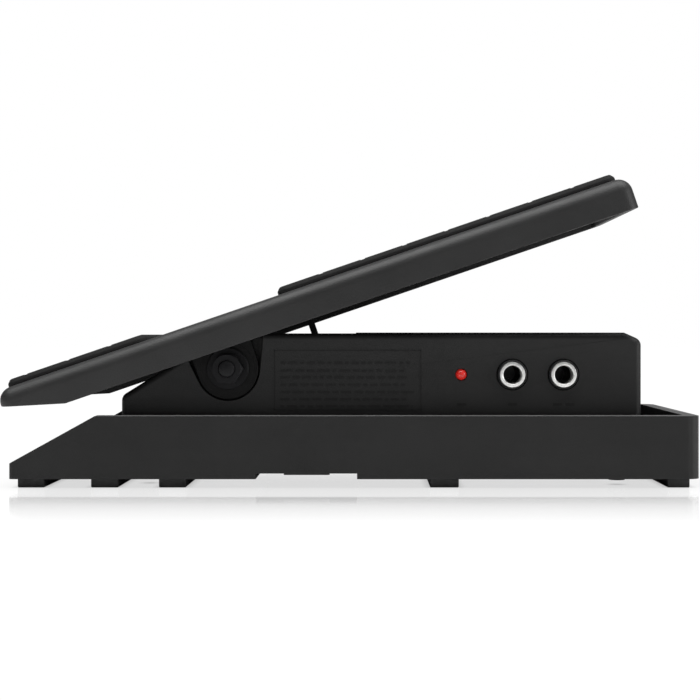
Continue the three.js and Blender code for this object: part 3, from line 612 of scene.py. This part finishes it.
def base_tray():
    """The moulded tray: open below, ramped cheeks with a low step at the heel, and the housing's well."""
    heel, toe, half, wall = BASE["heel"], BASE["toe"], BASE["half"], BASE["wall"]
    rim, heel_top, skirt = BASE["rim"], BASE["heel_top"], WELL["skirt"]
    rise = (rim - heel_top) / (RAMP_END - heel)
    drop = wall * math.hypot(1, rise)
    ceiling = rim - wall
    profile = [(heel, BASE["bottom"]), (toe, BASE["bottom"]), (toe, rim), (RAMP_END, rim), (heel, heel_top)]
    tray = prism("base_tray", base_plan(0, 2, 5), (BASE["bottom"], rim), "XY")
    combine(tray, [prism("cut", profile, (-half - 1, half + 1))], "INTERSECT")
    combine(tray, [
        prism("well", rectangle((WELL["start"], WELL["end"]), (-WELL["half"], WELL["half"]), WELL["corner"]),
              (0, rim + 1), "XY"),
        block("step", (heel - 1, WELL["start"] + 2), (-WELL["half"], WELL["half"]), (heel_top, rim + 1)),
    ])
    soften_now(tray, 0.9, 4)
    hollow_profile = [(heel + wall, 0), (toe - wall, 0), (toe - wall, ceiling),
                      (heel + (ceiling - heel_top + drop) / rise, ceiling),
                      (heel + wall, heel_top - drop + rise * wall)]
    hollow = prism("cut", hollow_profile, (-half, half))
    outside = (-WELL["half"] - skirt, WELL["half"] + skirt)
    combine(hollow, [prism("plan", base_plan(wall, 1, 2.4), (-1, rim), "XY")], "INTERSECT")
    combine(hollow, [
        block("skirt", (WELL["start"] - skirt, toe), outside, (WELL["bottom"], rim)),
        block("step_floor", (heel, WELL["start"]), outside, (heel_top - wall, rim)),
    ])
    notch = block("notch", NOTCH["x"], (-half - 1, -half + wall + 1), (0, NOTCH["top"]))
    combine(tray, [hollow, notch])
    hold_flats(tray)
    return shown(tray, "base", MATERIALS["base_plastic"], ["base_frame"])


def soften_now(piece, width, segments):
    soften(piece, width, segments)
    apply_modifiers(piece)


def foot_strips():
    for number in range(1, 6):
        node = f"foot_strip_{number}"
        low, high = (BASE_FRAME.inverted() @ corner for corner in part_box(node))
        points = rectangle((low.y, high.y), (low.z, high.z), 0.5)
        strip = prism(f"rubber_foot_{number}", points, (low.x, high.x), "YZ")
        soften(strip, 0.45)
        shown(strip, "base", MATERIALS["foot_rubber"], [node])


# ---------- housing ----------


def housing_outline(inset=0.0):
    start, end, top, wall = HOUSING["start"], HOUSING["end"], HOUSING["top"], HOUSING["wall"]
    if not inset:
        return rounded([
            (start, HOUSING["bottom"]), (end, HOUSING["bottom"]), (end, SLOPE["toe_foot"], 3),
            (SLOPE["toe_top"], top, 1.5), (SLOPE["ridge"], top, 3), (start, SLOPE["foot"], 3),
        ])
    rise = (top - SLOPE["foot"]) / (SLOPE["ridge"] - start)
    drop = wall * math.hypot(1, rise)
    return rounded([
        (start + wall, 0), (end - wall, 0), (end - wall, SLOPE["toe_foot"] - 1.4),
        (SLOPE["toe_top"] - 0.6, top - wall),
        (start + (top - wall - SLOPE["foot"] + drop) / rise, top - wall),
        (start + wall, SLOPE["foot"] - drop + rise * wall),
    ])


def pocket_outline(radius):
    """Round about the pivot, between two walls that lean outwards, and open at the top."""
    x, z = PIVOT_MM.x, PIVOT_MM.z
    heel_lean, toe_lean = math.radians(POCKET["heel_lean"]), math.radians(POCKET["toe_lean"])
    points = []
    steps = 4 * ARC_STEPS
    for step in range(steps + 1):
        angle = toe_lean + (math.pi - heel_lean - toe_lean) * step / steps
        points.append((x + radius * math.cos(angle), z - radius * math.sin(angle)))
    mouth = z + POCKET["height"]
    toe_x, toe_z = points[0]
    heel_x, heel_z = points[-1]
    points.append((heel_x - (mouth - heel_z) * math.tan(heel_lean), mouth))
    points.append((toe_x + (mouth - toe_z) * math.tan(toe_lean), mouth))
    return points


def pocket_cutter(sign):
    """The pocket's space, with its mouth eased outward a little."""
    half, ease = HOUSING["half"], 0.35
    turn = ease * 0.3
    stations = [(0, POCKET["floor"]), (0, half - ease), (turn, half - turn), (ease + 1, half + 1)]
    rings = []
    for grow, y in stations:
        rings.append([(p[0], sign * y, p[1]) for p in pocket_outline(POCKET["radius"] + grow)])
    return rings_mesh("pocket", rings, BASE_FRAME)


def eased_hole(radius, x, z, sign):
    """A cutter for a round hole in the housing's side, whose rim is eased."""
    half, ease = HOUSING["half"], 0.25
    turn = ease * 0.3
    profile = [
        (AXIS, half - 4), (radius, half - 4), (radius, half - ease), (radius + turn, half - turn),
        (radius + ease + 1, half + 1), (AXIS, half + 1),
    ]
    return lathe_y("hole", profile, x, z, sign, closed=False)


def housing():
    half, wall, top = HOUSING["half"], HOUSING["wall"], HOUSING["top"]
    outer = prism("housing_shell", housing_outline(), (-half, half))
    floor = HOUSING["bottom"] * MM

    def side_edge(first, second):
        on_side = abs(abs(first.y) - half * MM) < 1e-6 and abs(first.y - second.y) < 1e-6
        return on_side and max(first.z, second.z) > floor + 1e-4

    bevel_edges(outer, HOUSING["edge"], side_edge, 6)
    shell = outer.copy()
    shell.data = outer.data.copy()
    bpy.context.scene.collection.objects.link(shell)
    combine(shell, [prism("hollow", housing_outline(wall), (-half + wall, half - wall))])
    for sign in (-1, 1):
        lining = prism("lining", pocket_outline(POCKET["radius"] + POCKET["wall"]),
                       span_y(sign, POCKET["floor"] - wall, half - 0.05))
        trim = outer.copy()
        trim.data = outer.data.copy()
        bpy.context.scene.collection.objects.link(trim)
        combine(lining, [trim], "INTERSECT")
        combine(shell, [lining], "UNION")
        cutters = [
            pocket_cutter(sign),
            rod_y("bolt", BOLT["hole"], span_y(sign, POCKET["floor"] - wall - 1, half),
                  PIVOT_MM.x, PIVOT_MM.z),
        ]
        cutters += [eased_hole(JACK["nose"] + 0.25, x, JACK["z"], sign) for x in JACK["xs"]]
        small = LED["radius"] + 0.15 if sign < 0 else DC["radius"] + 0.4
        cutters.append(eased_hole(small, LED["x"], LED["z"], sign))
        combine(shell, cutters)
    bpy.data.objects.remove(outer)
    slot = prism("slot", rectangle(SLOT["x"], SLOT["y"], 1), (top - wall - 1, top + 1), "XY")
    lowered = block("lowered", LOWERED["x"], (-half - 1, half + 1), (top - LOWERED["depth"], top + 1))
    combine(shell, [slot, lowered])
    shell.name = "housing_case"
    hold_flats(shell)
    return shown(shell, "base", MATERIALS["housing_plastic"], ["housing"])


def raised_bar(x, z, sign, height):
    """A bar with rounded corners that stands out from the housing's side."""
    half, sunk = HOUSING["half"], 0.2
    corner = min(z[1] - z[0], x[1] - x[0]) * 0.3
    return prism("bar", rectangle(x, z, corner), span_y(sign, half - sunk, half + height))


def join(pieces, name):
    """One object from several closed pieces."""
    merged = bmesh.new()
    for piece in pieces:
        merged.from_mesh(piece.data)
    mesh = bpy.data.meshes.new(name)
    merged.to_mesh(mesh)
    merged.free()
    for piece in pieces:
        bpy.data.objects.remove(piece)
    whole = bpy.data.objects.new(name, mesh)
    bpy.context.scene.collection.objects.link(whole)
    return whole


def note_panel():
    """A thin raised border round rows of plain dashes, in place of the moulded note."""
    draw = random.Random(7)
    (x0, x1), (z0, z1), line = PANEL["x"], PANEL["z"], 0.35
    pieces = [
        raised_bar((x0, x1), (z1 - line, z1), -1, 0.2),
        raised_bar((x0, x1), (z0, z0 + line), -1, 0.2),
        raised_bar((x0, x0 + line), (z0, z1), -1, 0.2),
        raised_bar((x1 - line, x1), (z0, z1), -1, 0.2),
    ]
    for row in PANEL["rows"]:
        x = x0 + 2.2
        end = x1 - draw.uniform(2.5, 7)
        while x < end:
            length = draw.uniform(1.2, 4.6)
            pieces.append(raised_bar((x, min(x + length, end)), (row - 0.45, row + 0.45), -1, 0.25))
            x += length + 0.9
    panel = smooth_by_angle(join(pieces, "note_panel"))
    return shown(panel, "base", MATERIALS["raised_marks"])


def socket_marks():
    """Plain raised marks under the lamp and sockets: one dash for the first, two for the second."""
    pitch, half_length, rows = 4.4, 1.7, (28.4, 29.4)
    for sign, side in ((-1, "near"), (1, "far")):
        pieces = []
        for x, count in ((LED["x"], 1), (JACK["xs"][0], 1), (JACK["xs"][1], 2)):
            for index in range(count):
                middle = x + (index - (count - 1) / 2) * pitch
                pieces.append(raised_bar((middle - half_length, middle + half_length), rows, sign, 0.15))
        marks = smooth_by_angle(join(pieces, f"socket_marks_{side}"))
        shown(marks, "base", MATERIALS["raised_marks"])


# ---------- sockets and lamp ----------


def sockets():
    nose, ferrule, bore, z, block_half = JACK["nose"], JACK["ferrule"], JACK["bore"], JACK["z"], 7.5
    for sign, role in ((-1, "input"), (1, "output")):
        for index, x in enumerate(JACK["xs"], start=1):
            collar = lathe_y(f"{role}_collar_{index}", [
                (ferrule + 0.2, 39), (nose, 39), (nose, 45.4), (nose - 0.18, 45.8), (nose - 0.5, 46),
                (ferrule + 0.45, 46), (ferrule + 0.2, 45.75),
            ], x, z, sign)
            body = block("body", (x - block_half, x + block_half), span_y(sign, 14.7, 41.7),
                         (z - block_half, z + block_half))
            combine(body, [
                rod_y("bore", ferrule + 0.3, span_y(sign, 38.2, 50), x, z),
                rod_y("bore", bore + 0.1, span_y(sign, 15.7, 50), x, z),
            ])
            soften(smooth_by_angle(body), 0.3)
            body.name = f"{role}_jack_body_{index}"
            shown(smooth_by_angle(collar), "base", MATERIALS["black_nylon"])
            shown(body, "base", MATERIALS["black_nylon"], [f"{role}_jack_{index}"])
            ring = lathe_y(f"{role}_ring_{index}", [
                (bore, 38.4), (ferrule, 38.4), (ferrule, 46.15), (ferrule - 0.12, 46.4),
                (ferrule - 0.35, 46.5), (bore + 0.35, 46.5), (bore + 0.1, 46.35), (bore, 46.1),
            ], x, z, sign)
            shown(smooth_by_angle(ring), "base", MATERIALS["bright_nickel"],
                  [f"{role}_ferrule_{index}"])


def lamp():
    radius, tip, steps = LED["radius"], 45.4, 12
    profile = [(AXIS, 37), (radius, 37)]
    for step in range(steps + 1):
        angle = math.pi / 2 * step / steps
        profile.append((max(AXIS, radius * math.cos(angle)), tip - radius + radius * math.sin(angle)))
    dome = lathe_y("lamp_dome", profile, LED["x"], LED["z"], -1, closed=False)
    shown(smooth_by_angle(dome, 40), "base", MATERIALS["red_lens"], ["battery_led"])


def power_socket():
    x, z, radius, bore = DC["x"], DC["z"], DC["radius"], DC["bore"]
    tube = lathe_y("power_socket_collar", [
        (bore, 33), (radius, 33), (radius, 44.5), (radius - 0.35, 44.9), (bore + 0.3, 44.9), (bore, 44.6),
    ], x, z, 1)
    shown(smooth_by_angle(tube), "base", MATERIALS["black_nylon"], ["dc_jack"])
    outline = [(AXIS, 32), (1, 32), (1, 43), (0.6, 43.5), (AXIS, 43.6)]
    pin = lathe_y("power_socket_pin", outline, x, z, 1, closed=False)
    shown(smooth_by_angle(pin), "base", MATERIALS["bright_nickel"])


# ---------- pivot hardware ----------


def hex_piece(name, sign, both_ends):
    """A hexagon prism whose corners are turned off by a cone, at its outer end or at both ends."""
    x, z = PIVOT_MM.x, PIVOT_MM.z
    flats, (inner, outer) = BOLT["flats"], BOLT["head"]
    corner = flats / math.sqrt(3)
    piece = prism(name, circle(corner, x, z, 6), span_y(sign, inner, outer))
    profile = [
        (AXIS, inner - 1), (corner + 1, inner - 1), (corner + 1, outer - 0.9), (flats / 2 - 0.15, outer),
        (AXIS, outer),
    ]
    if both_ends:
        profile = [
            (AXIS, inner - 0.01), (flats / 2 - 0.1, inner - 0.01), (corner + 0.2, inner + 0.8),
            (corner + 0.2, outer - 0.8), (flats / 2 - 0.1, outer + 0.01), (AXIS, outer + 0.01),
        ]
    cone = lathe_y("cone", profile, x, z, sign, closed=False)
    return combine(piece, [cone], "INTERSECT")


def threaded_end(name, radius, sign, start, end):
    """The bolt's end: shallow thread crests and a small lead chamfer."""
    profile = [(AXIS, start), (radius, start)]
    along = start
    while along < end - 1.2:
        profile += [(radius, along + 0.15), (radius - 0.28, along + 0.45), (radius, along + 0.75)]
        along += 0.8
    profile += [(radius, end - 0.5), (radius - 0.5, end), (AXIS, end)]
    return lathe_y(name, profile, PIVOT_MM.x, PIVOT_MM.z, sign, closed=False)


def pivot_hardware():
    x, z = PIVOT_MM.x, PIVOT_MM.z
    steel = MATERIALS["black_steel"]
    nut = hex_piece("hex_nut", -1, True)
    combine(nut, [rod_y("bore", 3.05, (-52, -45), x, z)])
    shown(smooth_by_angle(nut), "base", steel, ["pivot_nut"])
    head = hex_piece("bolt_head", 1, False)
    shown(soften(smooth_by_angle(head), 0.15, 2), "base", steel, ["pivot_bolt"])
    shank = rod_y("bolt_shank", BOLT["radius"], (-44, 45.9), x, z)
    shown(smooth_by_angle(shank), "base", steel)
    tip = threaded_end("bolt_thread", BOLT["radius"], -1, 43.9, 50.9)
    shown(smooth_by_angle(tip, 50), "base", steel)
    for sign, side in ((-1, "near"), (1, "far")):
        washer = lathe_y(f"washer_{side}", [
            (3.3, 44.4), (7.25, 44.4), (7.4, 44.55), (7.4, 45.2), (7.1, 45.5), (3.5, 45.5), (3.3, 45.35),
        ], x, z, sign)
        shown(smooth_by_angle(washer), "base", steel, [f"pivot_washer_{side}"])


# ---------- treadle ----------


def treadle_bottom(u):
    share = (u - TREADLE["heel"]) / (HEEL_LIP["flat_start"] - TREADLE["heel"])
    return HEEL_LIP["lip"] + (TREADLE["skirt"] - HEEL_LIP["lip"]) * min(1, max(0, share))


def treadle_ring(inset, height=None, above=0.0):
    """Points round the treadle's plan, set in by inset: at one height, or following the skirt's edge."""
    heel, toe, half, edge = TREADLE["heel"], TREADLE["toe"], TREADLE["half"], TREADLE["edge"]
    radius = max(edge - inset, 0.02)
    reach = edge - radius if inset <= edge else inset
    corners = [(toe, -1, -math.pi / 2), (toe, 1, 0), (heel, 1, math.pi / 2), (heel, -1, math.pi)]
    points = []
    for end, side, start in corners:
        inward = -1 if end == toe else 1
        centre = (end + inward * (radius + reach), side * (half - radius - reach))
        for step in range(ARC_STEPS + 1):
            angle = start + math.pi / 2 * step / ARC_STEPS
            points.append((centre[0] + radius * math.cos(angle), centre[1] + radius * math.sin(angle)))
        if (end, side) == (toe, 1):
            points += [(0, half - inset), (HEEL_LIP["flat_start"], half - inset)]
        if (end, side) == (heel, -1):
            points += [(HEEL_LIP["flat_start"], -half + inset), (0, -half + inset)]
    if height is None:
        return [(u, y, treadle_bottom(u) + above) for u, y in points]
    return [(u, y, height) for u, y in points]


def treadle_shell():
    top, wall, edge = TREADLE["top"], TREADLE["wall"], TREADLE["edge"]
    ceiling = top - wall
    inside = [(wall + 1.2, ceiling), (wall + 0.35, ceiling - 0.3), (wall, ceiling - 1.2)]
    lip = [(wall, 0.35), (wall - 0.3, 0.0), (0.3, 0.0), (0.08, 0.1), (0.0, 0.35)]
    rings = [treadle_ring(inset, height) for inset, height in inside]
    rings += [treadle_ring(inset, None, above) for inset, above in lip]
    rings.append(treadle_ring(0.0, top - edge))
    steps = 10
    for step in range(1, steps + 1):
        angle = math.pi / 2 * step / steps
        rings.append(treadle_ring(edge * (1 - math.cos(angle)), top - edge + edge * math.sin(angle)))
    shell = rings_mesh("treadle_cover", rings, TREADLE_FRAME)
    smooth_by_angle(shell, 40)
    shell.modifiers.new("shading", "WEIGHTED_NORMAL").keep_sharp = True
    shown(shell, "treadle", MATERIALS["treadle_plastic"], ["treadle_shell"])


def treadle_ears():
    radius, ceiling = EAR["radius"], TREADLE["top"] - TREADLE["wall"]
    outline = [(radius, ceiling + 0.4), (-radius, ceiling + 0.4)]
    steps = 4 * ARC_STEPS
    for step in range(steps + 1):
        angle = math.pi * (1 + step / steps)
        outline.append((radius * math.cos(angle), radius * math.sin(angle)))
    for sign, side in ((-1, "near"), (1, "far")):
        thickness = span_y(sign, EAR["inner"], EAR["outer"] - 0.3)
        ear = prism(f"treadle_ear_{side}", outline, thickness, place=TREADLE_FRAME)
        boss = rod_y("boss", 9.3, span_y(sign, EAR["outer"] - 1, EAR["outer"]), 0, 0, TREADLE_FRAME)
        combine(ear, [boss], "UNION")
        combine(ear, [rod_y("bore", EAR["bore"], span_y(sign, 39, 45), 0, 0, TREADLE_FRAME)])
        soften(ear, 0.28, 3)
        # The ears take the darker, painted-shade copy of the treadle's plastic.
        shown(ear, "treadle", MATERIALS["ear_plastic_shaded"])


def treadle_ribs():
    """Stiffening ribs under the treadle's top."""
    ceiling = TREADLE["top"] - TREADLE["wall"]
    depth = (ceiling - 2.4, ceiling + 0.3)
    half = TREADLE["half"] - TREADLE["wall"] + 0.3
    pieces = []
    for u in RIBS["across"]:
        pieces.append(block("rib", (u, u + RIBS["thick"]), (-half, half), depth, TREADLE_FRAME))
    for y in RIBS["along"]:
        pieces.append(block("rib", RIBS["span"], (y, y + RIBS["thick"]), depth, TREADLE_FRAME))
    ribs = pieces[0]
    combine(ribs, pieces[1:], "UNION")
    ribs.name = "treadle_ribs"
    soften(ribs, 0.3, 2)
    shown(ribs, "treadle", MATERIALS["treadle_plastic"])


def pad_ring(spec, inset, height):
    corner = max(PAD["corner"] - inset, 0.4)
    length = (spec["start"] + inset, spec["end"] - inset)
    width = (-PAD["half"] + inset, PAD["half"] - inset)
    return [(p.x, p.y, height) for p in rectangle(length, width, corner)]


def pad(name, spec):
    """A grooved rubber pad: sloping sides, soft upper edge, and rounded grooves right across."""
    low, top, bevel = TREADLE["top"] - 0.1, PAD["top"], PAD["bevel"]
    stations = [(0, low), (0.05, top - bevel - 0.2), (0.2, top - bevel + 0.1), (bevel - 0.2, top - 0.2)]
    stations.append((bevel + 0.15, top))
    piece = rings_mesh(name, [pad_ring(spec, inset, height) for inset, height in stations], TREADLE_FRAME)
    cutters = []
    for index in range(spec["count"]):
        middle = spec["first"] + index * GROOVE["pitch"]
        groove = (middle - GROOVE["width"] / 2, middle + GROOVE["width"] / 2)
        cuts = ((GROOVE["depth"], PAD["half"] - GROOVE["border"]), (GROOVE["border_depth"], PAD["half"] + 1))
        for depth, reach in cuts:
            points = rounded([(groove[0], top + 1), (groove[0], top - depth, depth * 0.4),
                              (groove[1], top - depth, depth * 0.4), (groove[1], top + 1)])
            cutters.append(prism("groove", points, (-reach, reach), place=TREADLE_FRAME))
    combine(piece, cutters)
    soften(piece, 0.12, 2, 40)
    shown(piece, "treadle", MATERIALS["pad_rubber"], [name.replace("_tread", "_pad")])


# ---------- carried-over parts ----------


def finish_cad_nodes():
    """Every CAD node that stays visible takes the finish of its own slot, and keeps its flat faces."""
    slots = {part["node"]: part["material_slot"] for part in RECORD["subparts"]}
    for name, piece in frame["nodes"].items():
        if piece.hide_render:
            continue
        piece.data.materials.clear()
        piece.data.materials.append(MATERIALS[slots[name]])
        for face in piece.data.polygons:
            face.use_smooth = False


# ---------- stage ----------

WORLD_LIGHT = 0.1
# How much the floor mirrors, at shares of the way from its front edge to the pedal.
MIRROR_BAND = ((0.1, 0.07), (0.2, 0.13), (0.3, 0.2), (0.4, 0.29), (0.5, 0.42), (0.61, 0.5), (0.65, 0.22))


def floor_falloff(tree):
    """How strongly the floor mirrors the pedal: a band beside its -Y side that fades away from it."""
    coords = tree.nodes.new("ShaderNodeTexCoord")
    split = tree.nodes.new("ShaderNodeSeparateXYZ")
    tree.links.new(coords.outputs["Object"], split.inputs["Vector"])
    span = tree.nodes.new("ShaderNodeMapRange")
    span.inputs["From Min"].default_value = -0.16
    span.inputs["From Max"].default_value = -0.04
    tree.links.new(split.outputs["Y"], span.inputs["Value"])
    ramp = tree.nodes.new("ShaderNodeValToRGB")
    stops = ramp.color_ramp.elements
    stops[0].position, stops[0].color = 0.0, (0, 0, 0, 1)
    stops[1].position, stops[1].color = 1.0, (0.12, 0.12, 0.12, 1)
    for place, level in MIRROR_BAND:
        stop = stops.new(place)
        stop.color = (level, level, level, 1)
    tree.links.new(span.outputs["Result"], ramp.inputs["Fac"])
    return ramp.outputs["Color"]


def shade_near(tree, distance, darkest):
    """A soft contact shadow: darkest where things within the distance shut the floor in."""
    reach = tree.nodes.new("ShaderNodeAmbientOcclusion")
    reach.samples = 8
    reach.inputs["Distance"].default_value = distance
    level = tree.nodes.new("ShaderNodeMapRange")
    level.inputs["To Min"].default_value = darkest
    tree.links.new(reach.outputs["AO"], level.inputs["Value"])
    return level.outputs["Result"]


def floor():
    """A white sweep: to the camera, bright with a faint fading mirror image; to the rest, plain white."""
    size = 6
    mesh = bpy.data.meshes.new("floor")
    corners = [(-size, -size, 0), (size, -size, 0), (size, size, 0), (-size, size, 0)]
    mesh.from_pydata(corners, [], [(0, 1, 2, 3)])
    plane = bpy.data.objects.new("floor", mesh)
    bpy.context.scene.collection.objects.link(plane)
    material = bpy.data.materials.new("floor")
    material.use_nodes = True
    tree = material.node_tree
    tree.nodes.remove(tree.nodes["Principled BSDF"])
    mirror_share = floor_falloff(tree)
    mirror = tree.nodes.new("ShaderNodeBsdfGlossy")
    mirror.inputs["Roughness"].default_value = 0.08
    boost = tree.nodes.new("ShaderNodeVectorMath")
    boost.operation = "SCALE"
    boost.inputs["Scale"].default_value = 1 / WORLD_LIGHT
    tree.links.new(mirror_share, boost.inputs[0])
    tree.links.new(boost.outputs["Vector"], mirror.inputs["Color"])
    rest = tree.nodes.new("ShaderNodeMath")
    rest.operation = "SUBTRACT"
    rest.inputs[0].default_value = 1.02
    tree.links.new(mirror_share, rest.inputs[1])
    near = tree.nodes.new("ShaderNodeMath")
    near.operation = "MULTIPLY"
    tree.links.new(shade_near(tree, 0.03, 0.76), near.inputs[0])
    tree.links.new(shade_near(tree, 0.003, 0.5), near.inputs[1])
    strength = tree.nodes.new("ShaderNodeMath")
    strength.operation = "MULTIPLY"
    tree.links.new(rest.outputs["Value"], strength.inputs[0])
    tree.links.new(near.outputs["Value"], strength.inputs[1])
    glow = tree.nodes.new("ShaderNodeEmission")
    tree.links.new(strength.outputs["Value"], glow.inputs["Strength"])
    seen = tree.nodes.new("ShaderNodeAddShader")
    tree.links.new(glow.outputs["Emission"], seen.inputs[0])
    tree.links.new(mirror.outputs["BSDF"], seen.inputs[1])
    plain = tree.nodes.new("ShaderNodeBsdfDiffuse")
    plain.inputs["Color"].default_value = (0.88, 0.88, 0.88, 1)
    path = tree.nodes.new("ShaderNodeLightPath")
    choice = tree.nodes.new("ShaderNodeMixShader")
    tree.links.new(path.outputs["Is Camera Ray"], choice.inputs["Fac"])
    tree.links.new(plain.outputs["BSDF"], choice.inputs[1])
    tree.links.new(seen.outputs["Shader"], choice.inputs[2])
    tree.links.new(choice.outputs["Shader"], tree.nodes["Material Output"].inputs["Surface"])
    mesh.materials.append(material)


def soft_light(name, place, target, size, power):
    data = bpy.data.lights.new(name, "AREA")
    data.shape = "RECTANGLE"
    data.size, data.size_y = size
    data.energy = power
    light = bpy.data.objects.new(name, data)
    light.location = place
    light.rotation_euler = (Vector(target) - Vector(place)).to_track_quat("-Z", "Y").to_euler()
    bpy.context.scene.collection.objects.link(light)


def studio():
    bpy.context.scene.view_settings.view_transform = "Standard"
    world = bpy.data.worlds.new("studio")
    world.use_nodes = True
    tree = world.node_tree
    background = tree.nodes["Background"]
    path = tree.nodes.new("ShaderNodeLightPath")
    level = tree.nodes.new("ShaderNodeMapRange")
    level.inputs["To Min"].default_value = WORLD_LIGHT
    level.inputs["To Max"].default_value = 1.0
    tree.links.new(path.outputs["Is Camera Ray"], level.inputs["Value"])
    background.inputs["Color"].default_value = (1, 1, 1, 1)
    tree.links.new(level.outputs["Result"], background.inputs["Strength"])
    bpy.context.scene.world = world
    soft_light("overhead", (0.0, -0.1, 1.0), (0, 0, 0), (1.5, 0.8), 16)
    soft_light("front", (0.0, -1.6, 0.35), (0, 0, 0.05), (1.6, 0.5), 0.4)
    soft_light("toe_side", (1.2, -0.35, 0.3), (0.1, 0, 0.07), (0.6, 0.4), 4.0)


def camera():
    data = bpy.data.cameras.new("camera")
    data.lens = 88.5
    data.sensor_width = 36
    data.shift_x = -0.0286
    data.shift_y = -0.0221
    view = bpy.data.objects.new("camera", data)
    view.location = BASE_FRAME @ Vector((125.1, -649.5, 53.4))
    view.rotation_euler = (math.pi / 2, 0, 0)
    bpy.context.scene.collection.objects.link(view)
    bpy.context.scene.camera = view


# ---------- the whole pedal ----------

camera()
base_tray()
foot_strips()
housing()
note_panel()
socket_marks()
sockets()
lamp()
power_socket()
pivot_hardware()
treadle_shell()
treadle_ears()
treadle_ribs()
pad("toe_tread", TOE_PAD)
pad("heel_tread", HEEL_PAD)
finish_cad_nodes()
floor()
studio()
